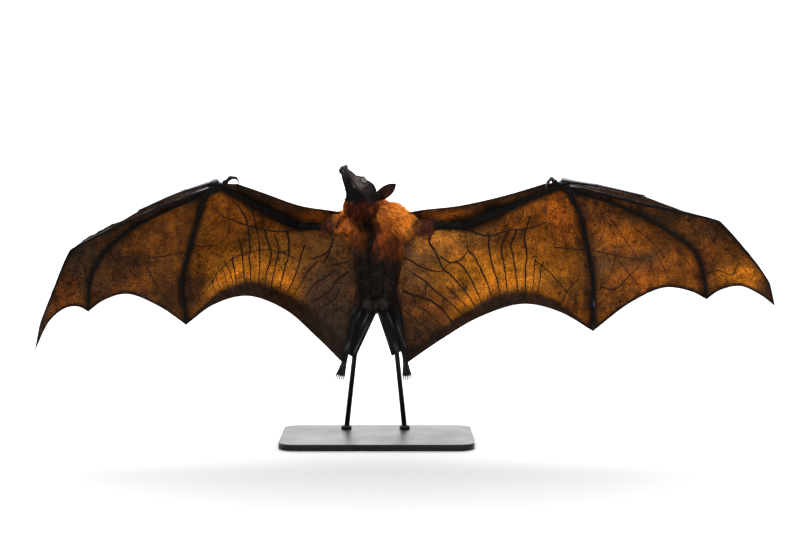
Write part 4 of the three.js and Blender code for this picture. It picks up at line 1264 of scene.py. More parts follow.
def coat_tone(points):
    """The coat's colour on head and trunk, with a painted sheen on each cheek. The angle is 90 along the back
    and -90 along the belly
    """
    nearest, left, rear = body_places(points)
    station = SPINE_SAMPLES[nearest] * LAST
    angle = np.degrees(np.arctan2(rear, np.abs(left)))
    forward = (SPINE[0][nearest] - points)[:, 1] / np.hypot(left, rear)
    x, z = points[:, 0] / MM, points[:, 2] / MM
    stray = ripples(points, 16 * MM, 41) * 3 + ripples(points, 6 * MM, 42) * 2
    stray = stray + ripples(points, 2.6 * MM, 43) * 3.2
    tone = np.tile(CHARCOAL, (len(points), 1))
    muzzle = (1 - fade(station, 2.2, 4.6)) * fade(angle, -25, 10)
    tone = lay(tone, MUZZLE_GREY, 0.4 * muzzle)
    # A painted sheen greys the cheek below the eye, where the light catches it
    cheek_sheen = np.exp(-(((station - 3.3) / 0.8) ** 2) - ((angle - 8) / 36) ** 2)
    tone = lay(tone, PAINTED_CHEEK_SHEEN, 0.5 * np.clip(1.3 * cheek_sheen, 0, 1))
    tone = lay(tone, THROAT_BLACK, 0.95 * (1 - fade(angle, -34, -12)) * fade(station, 1.2, 2.6))
    border = 5.3 + 0.62 * fade(angle, -40, 20) + 0.06 * stray
    mantle = fade(station, border - 0.3, border + 0.25)
    front = fade(forward, -0.45, 0.1)
    low = np.interp(x, (-30, 10, 40), (325, 320, 306))
    rust = 1 - fade(z + stray * 2, low - 14, low + 22)
    coat = lay(np.tile(ORANGE, (len(points), 1)), RUST, rust * 0.9)
    for (px, pz), (rx, rz), colour, strength in BREAST_MARKS:
        off = ((x + stray - px) / rx) ** 2 + ((z + stray * 1.5 - pz) / rz) ** 2
        coat = lay(coat, srgb(*colour), front * strength * np.clip(1.4 * np.exp(-off * 0.85), 0, 1))
    tone = lay(tone, coat, mantle)
    reaches = np.where(x > 0, np.interp(z, (318, 345, 360, 372), (46, 54, 61, 76)), 61)
    on_arm = fade(np.abs(x) + stray * 1.3 - reaches, -7, 8) * (1 - fade(z, 358, 370))
    tone = lay(tone, ARM_BROWN, mantle * on_arm)
    deep = 1 - fade(z + stray * 2, low - 34, low + 4)
    return lay(tone, np.where((angle > 0)[:, None], BACK_DARK, BELLY_DARK), deep * mantle)


def membrane_tone(points, measures):
    """The membrane's colour from its place, and how near it is to a bone, the rear edge and the arm"""
    x, z = points[:, 0] / MM, points[:, 2] / MM
    to_bone, to_tip, to_root = (measures[:, k] / MM for k in range(3))
    front, outer, body = (measures[:, 3] == FIELDS[name] for name in ("front", "between23", "body"))
    rear = ~front & ~outer
    blotch = ripples(points, 46 * MM, 51) * 0.5 + ripples(points, 17 * MM, 52) * 0.5
    tone = lay(np.tile(WING_BROWN, (len(points), 1)), WING_GOLD, fade(blotch, -1.0, 0.7))
    tone = lay(tone, FRONT_BROWN, front * 0.92)
    tone = lay(tone, np.where((x < 0)[:, None], OUTER_BROWN["right"], OUTER_BROWN["left"]), outer * 0.9)
    # Painted highlight on the membrane beside the second finger
    tone = lay(tone, PAINTED_EDGE_HIGHLIGHT, outer * 0.7 * hump(to_bone, 9))
    for place_name, patches in PATCHES.items():
        here = (x > 0) == place_name.startswith("left")
        here = here & (front if place_name.endswith("front") else rear)
        for (px, pz), (rx, rz), colour, strength in patches:
            off = ((x + 9 * blotch - px) / rx) ** 2 + ((z + 6 * blotch - pz) / rz) ** 2
            tone = lay(tone, srgb(*colour) * PATCH_TINT, here * strength * np.exp(-off * 0.9))
    wide = np.where(body, np.interp(x, *BAND_WIDTHS), 5) + 1.5 * blotch
    # Painted glow: a golden arc inside the dark band, for light shining through the thin membrane
    glow_arc = hump(to_tip - wide - 17, 17) * body
    right_glow_span = fade(-x, 105, 150) * (1 - fade(-x, 245, 285))
    left_glow_span = fade(x, 100, 150) * (1 - fade(x, 225, 275))
    tone = lay(tone, PAINTED_GOLD_GLOW, 0.95 * glow_arc * np.where(x < 0, right_glow_span, left_glow_span))
    tone = lay(tone, EDGE_BAND, rear * (1 - fade(to_tip, wide * 0.75, wide * 1.25)) * 0.96)
    # Painted shade on the membrane beside each bone
    tone = lay(tone, BONE_SHADE, hump(to_bone, 7) * rear * 0.95)
    tone = lay(tone, BONE_SHADE, hump(to_bone, 17) * rear * 0.5)
    # Painted shade darkens the skin beside the arm, most of all round the elbow
    by_elbow = 9 + 11 * hump(np.abs(x) - 168, 48)
    painted_arm_shade = np.exp(-((to_root / by_elbow) ** 4)) * fade(np.abs(x), 40, 75)
    tone = lay(tone, BONE_SHADE, (front | body) * painted_arm_shade)
    tone = lay(tone, BONE_SHADE, front * hump(to_tip, 3.5) * 0.8)
    return tone * MEMBRANE_TINT * np.where(x < 0, RIGHT_SHADE, 1)[:, None]


def mm_from(place):
    """How far each corner of the skin is from a place, in mm"""
    return np.linalg.norm(corners - place, axis=1) / MM


mesh = skin.data
corners, faces = mesh_arrays(mesh)
skin_normals = normals_of(corners, faces)
slots = read(mesh.polygons, "material_index")
loops = read(mesh.loops, "vertex_index")
loop_slots = np.repeat(slots, read(mesh.polygons, "loop_total"))
in_membrane = np.zeros(len(corners), bool)
in_membrane[loops[loop_slots == skin_slots["membrane"]]] = True
in_vessel = np.zeros(len(corners), bool)
in_vessel[loops[loop_slots == skin_slots["vein"]]] = True

nearest, left, rear = body_places(corners)
skin_station = SPINE_SAMPLES[nearest] * LAST
skin_angle = np.degrees(np.arctan2(rear, np.abs(left)))
half_width, half_back, half_belly = (size[nearest] for size in SPINE_SIZES)
# How far out each corner lies, where 1 is on the trunk's own outline
form = np.hypot(left / half_width, rear / np.where(rear > 0, half_back, half_belly))
x, z = corners[:, 0] / MM, corners[:, 2] / MM

# Bare skin everywhere that no coat grows: ears, nose, forearms, hands, fingers, legs and testes
tone = np.tile(BARE_BLACK, (len(corners), 1))
brow = np.interp(skin_station, (1.8, 2.4, 4.2, 4.8), (1.06, 1.5, 1.5, 1.06))
furred = (1 - fade(form - brow, 0, 0.24)) * (1 - fade(skin_station, 12.2, 12.8))
for side_name, wing in WINGS.items():
    shoulder, elbow = np.array(wing["shoulder"]) * MM, np.array(wing["elbow"]) * MM
    share = np.clip(((corners - shoulder) @ (elbow - shoulder)) / ((elbow - shoulder) ** 2).sum(), -0.2, 1.2)
    off = np.linalg.norm(corners - shoulder - share[:, None] * (elbow - shoulder), axis=1)
    near_arm = (1 - fade(off, 36 * MM, 44 * MM)) * (1 - fade(share, 0.28, 0.62)) * (share > 0)
    furred = np.maximum(furred, near_arm)
testes = np.zeros(len(corners))
for centre in TESTES.values():
    testes = np.maximum(testes, 1 - fade(mm_from(np.array(centre) * MM), 9.6, 11.5))
from_nose = mm_from(SPINE[0][0])
from_eyes = [mm_from(centre + gazes[which] * EYE["radius"]) for which, centre in eyes.items()]
bare = np.maximum(testes, 1 - fade(from_nose, 5, 9))
for from_eye in from_eyes:
    bare = np.maximum(bare, 1 - fade(from_eye, 6.2, 7.4))
furred = furred * (1 - bare) * ~in_membrane * ~in_vessel
tone = lay(tone, coat_tone(corners) * 0.8, furred)
tone = lay(tone, SLATE, testes)
for from_eye in from_eyes:
    tone = lay(tone, LID_GREY, 1 - fade(from_eye, 6, 8.5))
    tone = lay(tone, LID_SHADE, hump(from_eye - 5.6, 0.7) * 0.8)
    tone = lay(tone, LID_RIM, 1 - fade(from_eye, 3.9, 4.8))
# The bare nose is grey, made lighter still by a painted highlight
tone = lay(tone, NOSE_GREY_AND_HIGHLIGHT, (1 - fade(from_nose, 5, 10)) * 0.9)
# The feet are painted a little lighter than the other bare skin: a painted sheen for the glints on the toes
tone = lay(tone, PAINTED_FOOT_SHEEN, (z < 124).astype(float))
# Painted highlights in streaks across the leg flaps, for light caught on their glossy pleats
highlight_ridge = ripples(np.stack([x - 0.45 * (233 - z) * np.sign(x), 0.12 * z, 0 * z], 1) * MM, 7 * MM, 71)
on_flap = ~in_membrane * (z < 232) * (z > 138) * (skin_station > 11)
tone = lay(tone, PAINTED_PLEAT_HIGHLIGHT, on_flap * 0.8 * fade(highlight_ridge, 0.7, 1.8))
for place, _ in bores:
    off = mm_from(place)
    # A painted highlight rings each nostril
    tone = lay(tone, PAINTED_NOSTRIL_HIGHLIGHT, hump(off - 2.4, 0.7) * 0.8)
    # Painted shade blackens the bore
    tone = lay(tone, PAINTED_RECESS_SHADE, 1 - fade(off, 1.5, 2.0))
line_angle = np.interp(skin_station, *MOUTH)
off_line = np.radians(skin_angle - line_angle) * np.hypot(left, rear) / MM
jaw = (skin_station < 3.6) * (form < 1.3) * (skin_station > 0.15)
# A painted highlight along the lips
lip_highlight = jaw * hump(off_line + 1.5, 0.7) * ((skin_station < 1.3) | (skin_station > 2.7))
tone = lay(tone, PAINTED_LIP_HIGHLIGHT, lip_highlight * 0.55)
# Painted shade in the mouth line
tone = lay(tone, PAINTED_RECESS_SHADE, jaw * hump(off_line, 0.8) * 0.9)
for mirrored in (False, True):
    base, tip, facing = ear_axes(mirrored)
    along = ((corners - base) @ (tip - base)) / ((tip - base) ** 2).sum()
    off = np.linalg.norm(corners - base - np.clip(along, 0, 1)[:, None] * (tip - base), axis=1) / MM
    is_ear = (off < 12) * fade(along, 0.0, 0.15) * (form > 1.02)
    facing = unit(facing - unit(tip - base) * (facing @ unit(tip - base)))
    inner = fade(skin_normals @ facing, 0.0, 0.35)
    tone = lay(tone, EAR_OUTSIDE, is_ear)
    tone = lay(tone, EAR_INSIDE, is_ear * inner * (1 - 0.8 * fade(along, 0.35, 0.9)))
    furred = furred * (1 - is_ear)
# Painted highlight along each second finger, laid where its skin faces up towards the light
for side_name, wing in WINGS.items():
    path = curve(wing["digit2"], 160)
    gap = (corners**2).sum(1)[:, None] - 2 * corners @ path.T + (path**2).sum(1)
    off = np.sqrt(np.maximum(gap.min(1), 0)) / MM
    rim = (1 - fade(off, 5.5, 8)) * fade(skin_normals[:, 2], 0.0, 0.5)
    tone = lay(tone, PAINTED_EDGE_HIGHLIGHT, rim * 0.85 * ~in_membrane)

# Each corner of the membrane takes the measures of the nearest place on the wings' middle grids
all_points, all_measures = np.concatenate(wing_points), np.concatenate(wing_measures)
lookup = KDTree(len(all_points))
for index, point in enumerate(all_points.tolist()):
    lookup.insert(point, index)
lookup.balance()
wanted = np.flatnonzero(in_membrane)
found = np.array([lookup.find(point)[1] for point in corners[wanted].tolist()])
tone[wanted] = membrane_tone(corners[wanted], all_measures[found])
from_edge = np.zeros(len(corners))
from_edge[wanted] = all_measures[found, 1] / MM
combed = np.zeros(len(corners))
combed[wanted] = (all_measures[found, 3] == FIELDS["body"]) * hump(from_edge[wanted] - 42, 30)
# The hide is matt under the fur and on the bare parts of the head and neck
matte = np.maximum(furred, 0.4 * (1 - fade(skin_station, 6, 7)) * (np.abs(x) < 70))


def mark(mesh, name, values):
    """Stores one value for each corner, for a finish to read"""
    mesh.attributes.new(name, "FLOAT", "POINT").data.foreach_set("value", values.astype(np.float32))


def paint(mesh, tones):
    """Stores a colour for each corner, for a finish to read"""
    colours = mesh.color_attributes.new("tone", "FLOAT_COLOR", "POINT")
    opaque = np.concatenate([tones, np.ones((len(tones), 1))], 1)
    colours.data.foreach_set("color", opaque.astype(np.float32).ravel())


mark(mesh, "from_edge", from_edge)
mark(mesh, "combed", combed)
paint(mesh, tone)
mark(mesh, "furred", matte)


# ---- Finishes of the skin ----
# Bare hide is black, finely creased and a little greasy. The membrane is thin and glows when lit from behind,
# with a net of capillaries and specks. The vessels are darker and wetter than the skin round them.
VESSEL_DARK = rgba(17, 11, 8)
VESSEL_BROWN = rgba(38, 22, 13)
GLOW_TINT = (1.0, 0.96, 0.62, 1)
GLOW_SHARE = 0.45


def attribute(tree, name):
    """A value that is stored for each corner"""
    return put(tree, "ShaderNodeAttribute", attribute_name=name)


def varied(tree, value, lows, highs):
    """A tint whose three channels follow one value, each over a span of its own"""
    channels = {k: spread(tree, value, 0.3, 0.7, lows[k], highs[k]) for k in range(3)}
    return put(tree, "ShaderNodeCombineColor", channels).outputs[0]


def net(tree, where, scale):
    """How far each place is from the nearest line of a net of cells"""
    cells = put(tree, "ShaderNodeTexVoronoi", {"Vector": where, "Scale": scale}, feature="DISTANCE_TO_EDGE")
    return cells.outputs["Distance"]


hide, tree, shader = new_finish("creased_black_hide")
place = in_place(tree)
own = attribute(tree, "tone").outputs["Color"]
fine = noise(tree, place, 700.0, 4.0)
broad = noise(tree, place, 90.0, 4.0)
creased = spread(tree, net(tree, place, 620.0), 0.0, 0.12)
wear_and_floor_shade = blend(tree, "MULTIPLY", 1.0, own, varied(tree, broad, (0.72, 0.74, 0.76), (1.35, 1.3, 1.28)))
tree.links.new(wear_and_floor_shade, shader.inputs["Base Color"])
under_fur = attribute(tree, "furred").outputs["Fac"]
tree.links.new(spread(tree, under_fur, 0.0, 0.5, 0.38, 0.85), shader.inputs["Roughness"])
relief = sums(tree, "ADD", sums(tree, "MULTIPLY", creased, 0.55), fine)
tree.links.new(bump(tree, relief, 0.5, 0.0004), shader.inputs["Normal"])
shader.inputs["Specular IOR Level"].default_value = 0.045

membrane, tree, shader = new_finish("wing_membrane")
place = in_place(tree)
own = attribute(tree, "tone").outputs["Color"]
# The net of capillaries wanders, and comes and goes across the wing
drift = put(tree, "ShaderNodeTexNoise", {"Vector": place, "Scale": 60.0, "Detail": 2.0}).outputs["Color"]
drift = put(tree, "ShaderNodeVectorMath", {0: drift, 1: [0.022] * 3}, operation="MULTIPLY").outputs[0]
bent = put(tree, "ShaderNodeVectorMath", {0: place, 1: drift}, operation="ADD").outputs[0]
large_net = net(tree, bent, 95.0)
strong = spread(tree, noise(tree, place, 16.0, 2.0), 0.38, 0.58, 0.15, 1.0)
large_line = sums(tree, "MULTIPLY", spread(tree, large_net, 0.006, 0.055, 0.86, 0.0), strong)
large_line = sums(tree, "SUBTRACT", 1.0, large_line)
small_line = spread(tree, net(tree, bent, 230.0), 0.02, 0.14, 0.5, 1.06)
mottle = noise(tree, place, 55.0, 6.0, 0.62)
speckle = noise(tree, place, 420.0, 3.0, 0.6)
stain = spread(tree, mottle, 0.34, 0.62, 0.56, 1.3)
speck = spread(tree, speckle, 0.36, 0.58, 0.68, 1.16)
lined = sums(tree, "MULTIPLY", large_line, small_line)
shade = sums(tree, "MULTIPLY", lined, sums(tree, "MULTIPLY", stain, speck))
# Fine rows run along the rear edge, a few fingers' breadths inside it
along_edge = sums(tree, "MULTIPLY", attribute(tree, "from_edge").outputs["Fac"], 2.3)
along_edge = sums(tree, "ADD", along_edge, sums(tree, "MULTIPLY", mottle, 5.0))
row = spread(tree, sums(tree, "SINE", along_edge, 0.0), 0.1, 0.9, 0.0, 0.42)
row = sums(tree, "MULTIPLY", row, attribute(tree, "combed").outputs["Fac"])
shade = sums(tree, "MULTIPLY", shade, sums(tree, "SUBTRACT", 1.0, row))
channels = {0: shade, 1: sums(tree, "POWER", shade, 1.04), 2: sums(tree, "POWER", shade, 1.15)}
skin_colour = blend(tree, "MULTIPLY", 1.0, own, put(tree, "ShaderNodeCombineColor", channels).outputs[0])
tree.links.new(skin_colour, shader.inputs["Base Color"])
shader.inputs["Roughness"].default_value = 0.5
shader.inputs["Specular IOR Level"].default_value = 0.08
height = sums(tree, "ADD", sums(tree, "MULTIPLY", large_net, -0.5), sums(tree, "MULTIPLY", mottle, 1.4))
height = sums(tree, "ADD", height, sums(tree, "MULTIPLY", speckle, 0.5))
tree.links.new(bump(tree, height, 0.45, 0.0007), shader.inputs["Normal"])
glow_colour = blend(tree, "MULTIPLY", 1.0, skin_colour, GLOW_TINT)
glow = put(tree, "ShaderNodeBsdfTranslucent", {"Color": glow_colour})
lit = put(tree, "ShaderNodeMixShader", {0: GLOW_SHARE, 1: shader.outputs[0], 2: glow.outputs[0]})
tree.links.new(lit.outputs[0], tree.nodes["Material Output"].inputs["Surface"])

vessel, tree, shader = new_finish("blood_vessel")
place = in_place(tree)
mottle = spread(tree, noise(tree, place, 160.0), 0.35, 0.65)
vessel_colour = blend(tree, "MIX", mottle, VESSEL_DARK, VESSEL_BROWN)
tree.links.new(vessel_colour, shader.inputs["Base Color"])
tree.links.new(bump(tree, noise(tree, place, 900.0), 0.3, 0.0002), shader.inputs["Normal"])
shader.inputs["Roughness"].default_value = 0.5
shader.inputs["Specular IOR Level"].default_value = 0.05

mesh.materials.clear()
for finish in (hide, membrane, vessel):
    mesh.materials.append(finish)
mesh.polygons.foreach_set("material_index", slots)
mesh.shade_smooth()
flesh = ["head", "neck", "chest", "belly", "testes"]
for name in ("ear", "upper_arm", "forearm", "thumb", "digit2", "digit3", "digit4", "digit5",
             "thigh", "shank", "foot", "front_membrane", "membrane_2_3", "membrane_3_4", "membrane_4_5",
             "body_membrane", "leg_flap"):
    flesh.extend(f"{name}_{side_name}" for side_name in WINGS)
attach(skin, "root")
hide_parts(*flesh)


# ---- Eyes ----
# Large dark brown eyes set in the lids. The clear front bulges over the pupil, and the white hardly shows.
PUPIL_BLACK = rgba(4, 3, 3)
IRIS_DARK = rgba(46, 24, 12)
IRIS_LIGHT = rgba(92, 50, 22)
EYE_WHITE = rgba(44, 34, 32)
# The edges of pupil and iris, as angles from the gaze
PUPIL = 0.4
IRIS = 0.86


def eye_shell(centre, gaze, radius):
    """A ball whose clear front stands a little proud, with each corner's angle from the gaze"""
    other = unit(np.cross(gaze, (0.2, 0.3, 1)))
    corners, faces = ball((0, 0, 0), [radius] * 3, (other, np.cross(gaze, other), gaze), 48, 40)
    ahead = (corners @ gaze) / radius
    corners = corners * (1 + 0.09 * fade(ahead, 0.72, 1.0))[:, None]
    return (corners + centre, faces), np.arccos(np.clip(ahead, -1, 1))


eye_finish, tree, shader = new_finish("wet_brown_eye")
off_gaze = attribute(tree, "off_gaze").outputs["Fac"]
streaks = noise(tree, in_place(tree), 1500.0, 3.0)
iris = blend(tree, "MIX", spread(tree, streaks, 0.35, 0.65), IRIS_DARK, IRIS_LIGHT)
iris = blend(tree, "MIX", spread(tree, off_gaze, PUPIL - 0.06, PUPIL + 0.06), PUPIL_BLACK, iris)
whole = blend(tree, "MIX", spread(tree, off_gaze, IRIS - 0.06, IRIS + 0.08), iris, EYE_WHITE)
tree.links.new(whole, shader.inputs["Base Color"])
shader.inputs["Roughness"].default_value = 0.12
shader.inputs["Coat Weight"].default_value = 1.0
shader.inputs["Coat Roughness"].default_value = 0.03
for which, centre in eyes.items():
    shell, off_axis = eye_shell(centre, gazes[which], EYE["radius"])
    eye = make_mesh(f"eyeball_{which}", *shell)
    mark(eye.data, "off_gaze", off_axis)
    eye.data.materials.append(eye_finish)
    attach(eye, "root")
    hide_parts(f"eye_{which}")


# ---- Claws ----
# Hooked black horn on each thumb, second finger and toe, flattened from side to side and worn to a point.
HORN_BLACK = rgba(9, 8, 8)
HORN_WORN = rgba(30, 26, 24)
CLAW_FLAT = 0.75
# In mm before the toe's tip and to the sole: where each toe's claw bends, and its point
TOE_HOOK = (5.5, 2)
TOE_POINT = (6.5, 7.5)
claw_finish, tree, shader = new_finish("black_horn")
place = in_place(tree)
horn = blend(tree, "MIX", spread(tree, noise(tree, place, 260.0), 0.35, 0.7), HORN_BLACK, HORN_WORN)
tree.links.new(horn, shader.inputs["Base Color"])
tree.links.new(bump(tree, noise(tree, place, 1400.0, 3.0), 0.3, 0.0002), shader.inputs["Normal"])
shader.inputs["Roughness"].default_value = 0.38
shader.inputs["Specular IOR Level"].default_value = 0.12


def claw(name, points, radii, node):
    """One claw along its places in mm, in place of its node"""
    path = curve(points, 26)
    radius = through(radii, np.linspace(0, 1, 26)) * MM * 1.05
    radius[-1] *= 0.6
    piece = make_mesh(name, *tube(path, radius, 14, (1, 0, 0), CLAW_FLAT))
    piece.data.materials.append(claw_finish)
    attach(piece, "root")
    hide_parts(node)


for side_name, wing in WINGS.items():
    claw(f"thumb_nail_{side_name}", wing["thumb_claw"], RADII["thumb_claw"], f"thumb_claw_{side_name}")
    claw(f"finger_nail_{side_name}", wing["digit2_claw"], RADII["digit2_claw"], f"digit2_claw_{side_name}")
    for toe, (end, reach, sole) in enumerate(toe_lines[side_name], 1):
        hook, point = (end + reach * ahead * MM + sole * down * MM for ahead, down in (TOE_HOOK, TOE_POINT))
        places = np.array([end, hook, point]) / MM
        claw(f"toe_nail_{side_name}_{toe}", places, RADII["toe_claw"], f"toe_claw_{side_name}_{toe}")


# ---- Coat ----
# Solid tapering tufts rooted in the skin: short and close on the head, long and ruffled over the shoulders,
# sleek on belly and back. Each lies along the body towards the tail and carries the skin's own markings.
COAT_SHARE = 1.0
# Each area: tufts per piece, pieces, rings, length and width in mm, how far the tips lift, how unruly it is,
# how many locks it falls into, and its slot
COATS = {
    "head_fur": (17000, 2, 2, (3.2, 5.0), 0.42, 0.18, 0.2, 900, "head_fur"),
    "mantle_fur": (11200, 4, 3, (13, 23), 0.9, 0.34, 0.26, 1100, "mantle_fur"),
    "trunk_fur": (15500, 2, 2, (9, 15), 0.8, 0.28, 0.22, 900, "body_fur"),
    "arm_fur": (11500, 1, 2, (8, 15), 0.7, 0.25, 0.26, 350, "mantle_fur"),
}
# How long the tufts are, by station, as a share of their area's length
HEAD_LENGTHS = ((0.5, 2, 3.5, 4.8, 5.6), (0.34, 0.5, 0.7, 1.0, 1.4))
MANTLE_LENGTHS = ((5.2, 5.6, 6.2, 7.2, 8.2, 9.8), (0.28, 0.5, 0.75, 1.0, 1.05, 0.75))
# How far the tufts fan outwards from the middle, by station
COAT_FAN = ((3, 5.5, 6.5, 8.5, 10.5), (0, 0.15, 0.75, 0.4, 0.05))
PALE_AND_SHEEN_TUFTS = 0.16
BAKE_PATCH = 0.003

mesh.calc_loop_triangles()
triangles = read(mesh.loop_triangles, "vertices", width=3).reshape(-1, 3)
first, second, third = (corners[triangles[:, k]] for k in range(3))
area = np.linalg.norm(np.cross(second - first, third - first), axis=1) / 2
tri_fur = furred[triangles].mean(1)
tri_station = skin_station[triangles].mean(1)
tri_form = form[triangles].mean(1)
on_arm = (tri_form > 1.06) & (tri_station > 6.2)
zones = {
    "head_fur": (tri_station < 5.6) & ~on_arm,
    "mantle_fur": (tri_station >= 5.25) & (tri_station < 9.8) & ~on_arm,
    "trunk_fur": (tri_station >= 9.2) & ~on_arm,
    "arm_fur": on_arm,
}
fur_finish, tree, shader = new_finish("fur")
own = attribute(tree, "tone").outputs["Color"]
streak = noise(tree, in_place(tree), 260.0, 3.0)
streak_colour = varied(tree, streak, (0.72, 0.7, 0.68), (1.25, 1.25, 1.25))
tree.links.new(blend(tree, "MULTIPLY", 1.0, own, streak_colour), shader.inputs["Base Color"])
shader.inputs["Roughness"].default_value = 0.6
shader.inputs["Specular IOR Level"].default_value = 0.05


def coat_piece(name, zone, count, rings, lengths, width, lift, unruly, locks, draw):
    """One piece of the coat: closed three-sided tufts, each bent down over the skin behind it"""
    chance = area * tri_fur * zone
    if "head" in name:
        chance = chance * (1 + 1.2 * (tri_station < 3))
    picked = draw.choice(len(chance), size=count, p=chance / chance.sum())
    share = draw.dirichlet((1, 1, 1), size=count)
    root = np.einsum("ij,ijk->ik", share, corners[triangles[picked]])
    normal = unit(np.einsum("ij,ijk->ik", share, skin_normals[triangles[picked]]))
    nearest, left, rear = body_places(root)
    station = SPINE_SAMPLES[nearest] * LAST
    tail, side = SPINE[1][nearest], SPINE[3][nearest]
    fan = np.interp(station, *COAT_FAN)
    swirl = ripples(root, 22 * MM, 61) * 0.5 + ripples(root, 9 * MM, 62) * 0.5
    lie = tail + side * (np.sign(left) * fan * np.clip(np.abs(left) / (20 * MM), 0, 1))[:, None]
    lie = lie + side * (swirl * unruly)[:, None] + draw.normal(size=(count, 3)) * unruly * 0.4
    lie = unit(lie - normal * (lie * normal).sum(1, keepdims=True))
    across = np.cross(normal, lie)
    longer = np.ones(count)
    if "head" in name:
        longer = np.interp(station, *HEAD_LENGTHS)
    elif "mantle" in name:
        longer = np.interp(station, *MANTLE_LENGTHS)
    length = draw.uniform(*lengths, size=count) * MM * longer * (1 + 0.15 * ripples(root, 14 * MM, 63))
    wide = width * MM * draw.uniform(0.7, 1.25, size=count) * np.clip(longer, 0.55, 1.2)
    rise = lift * draw.uniform(0.5, 1.25, size=count) + 0.06
    curl = draw.normal(size=count) * unruly * 0.35
    # Neighbouring tufts draw together into locks that share a shade
    chosen = draw.choice(count, size=min(locks, count), replace=False)
    lock_tree = KDTree(len(chosen))
    for index, tuft in enumerate(chosen):
        lock_tree.insert(root[tuft], index)
    lock_tree.balance()
    lock = np.array([lock_tree.find(place)[1] for place in root.tolist()])
    lock_tip = (root[chosen] + lie[chosen] * length[chosen, None])[lock]
    pull = (lock_tip - root - lie * length[:, None]) * draw.uniform(0.3, 0.8, size=(count, 1))
    pull = pull - normal * (pull * normal).sum(1, keepdims=True)
    reach = np.linalg.norm(pull, axis=1, keepdims=True)
    pull = pull * np.minimum(1, 0.5 * length[:, None] / np.maximum(reach, 1e-6))
    lie = lie + pull / length[:, None]
    lock_shade = draw.uniform(0.6, 1.42, size=len(chosen))[lock][:, None]
    corner_angle = np.radians([90, 210, 330])
    places, tones, shares, turns = [], [], [], []
    own_tone = coat_tone(root + lie * (0.5 * length)[:, None])
    own_tone = own_tone * draw.uniform(0.7, 1.28, size=(count, 1)) * lock_shade
    own_tone = own_tone * (1 + draw.normal(size=(count, 3)) * (0.05, 0.03, 0.03))
    # Some dark tufts are painted paler: partly pale hairs, partly a painted sheen on single hairs
    pale_and_sheen_tuft = (draw.random(count) < PALE_AND_SHEEN_TUFTS) & (own_tone.max(1) < 0.08) & (station > 8)
    own_tone = own_tone * np.where(pale_and_sheen_tuft, 3.2, 1)[:, None]
    unrolled = np.stack([np.arctan2(left, -rear) * 30 * MM, station * 3 * MM, 0 * left], 1)
    streaks = ripples(unrolled, 7 * MM, 64, 7) + 0.7 * ripples(unrolled, 3.5 * MM, 65, 7)
    own_tone = own_tone * np.clip(1 + 0.25 * streaks * (station > 5.2), 0.4, 1.5)[:, None]
    round_off = (lie * side).sum(1) ** 2 / (2 * np.maximum(np.hypot(left, rear), 12 * MM))
    rim = np.cos(corner_angle)[None, :, None] * across[:, None]
    rim = rim + 0.6 * np.sin(corner_angle)[None, :, None] * normal[:, None]
    for ring in range(rings + 1):
        s = ring / rings
        centre = root - normal * (round_off * (length * s) ** 2)[:, None]
        centre = centre - normal * 0.3 * MM + lie * (length * s)[:, None]
        centre = centre + normal * (length * (rise * s - 0.4 * rise * s**2))[:, None]
        centre = centre + across * (length * curl * s**2)[:, None]
        # Each tuft darkens towards its root: partly the hair's own colour, partly painted shade deep in the
        # coat
        ring_tone = own_tone * (0.6 + 0.62 * s**0.7)
        if ring == rings:
            places.append(centre[:, None])
            tones.append(ring_tone[:, None])
            shares.append(np.full((count, 1), s))
            turns.append(np.zeros((count, 1)))
            continue
        thin_out = wide * (1 - s**1.6) / 2
        places.append(centre[:, None] + rim * thin_out[:, None, None])
        tones.append(np.repeat(ring_tone[:, None], 3, 1))
        shares.append(np.tile(s - 0.12 * np.sin(corner_angle) * (ring == 0), (count, 1)))
        turns.append(np.tile(np.cos(corner_angle), (count, 1)) * (1 - 0.5 * s))
    places = np.concatenate(places, 1)
    per_tuft = places.shape[1]
    base = [(0, 2, 1)]
    for ring in range(rings - 1):
        for k in range(3):
            a, b = ring * 3 + k, ring * 3 + (k + 1) % 3
            base += [(a, b, b + 3), (a, b + 3, a + 3)]
    last = (rings - 1) * 3
    base += [(last + k, last + (k + 1) % 3, per_tuft - 1) for k in range(3)]
    tri = (np.array(base)[None] + (np.arange(count) * per_tuft)[:, None, None]).reshape(-1, 3)
    piece = make_mesh(name, places.reshape(-1, 3), [tri])
    paint(piece.data, np.clip(np.concatenate(tones, 1).reshape(-1, 3), 0, 1))
    # The bake map: the body unrolled, round by angle and down by station, with a small patch for each tuft
    turn = (np.arctan2(rear, left) / (2 * np.pi)) % 1
    spot = np.stack([0.01 + 0.98 * turn, 0.01 + 0.98 * station / LAST], 1)
    patch = np.stack([np.concatenate(turns, 1) / 2, np.concatenate(shares, 1) - 0.5], -1) * BAKE_PATCH
    layout = (spot[:, None] + patch).reshape(-1, 2)[tri.ravel()]
    layer = piece.data.uv_layers.new(name="OFBake")
    layer.data.foreach_set("uv", layout.astype(np.float32).ravel())
    piece.data.materials.append(fur_finish)
    return piece


for number, (coat_name, settings) in enumerate(COATS.items()):
    count, pieces, *shape, slot_name = settings
    for part in range(pieces):
        draw = np.random.default_rng(700 + 10 * number + part)
        name = f"{coat_name}_{part + 1}"
        piece = coat_piece(name, zones[coat_name], int(count * COAT_SHARE), *shape, draw)
        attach(piece, "root")


# ---- Floor, light and camera ----
# A round pale studio cove, faintly lit through, with a large soft front light, a fill, and a broad light
# behind the wings. The sizes here are in metres.
FLOOR_RADIUS = 5.5
COVE_BEND = 1.5
COVE_TOP = 4.5
COVE_SIDES = 96
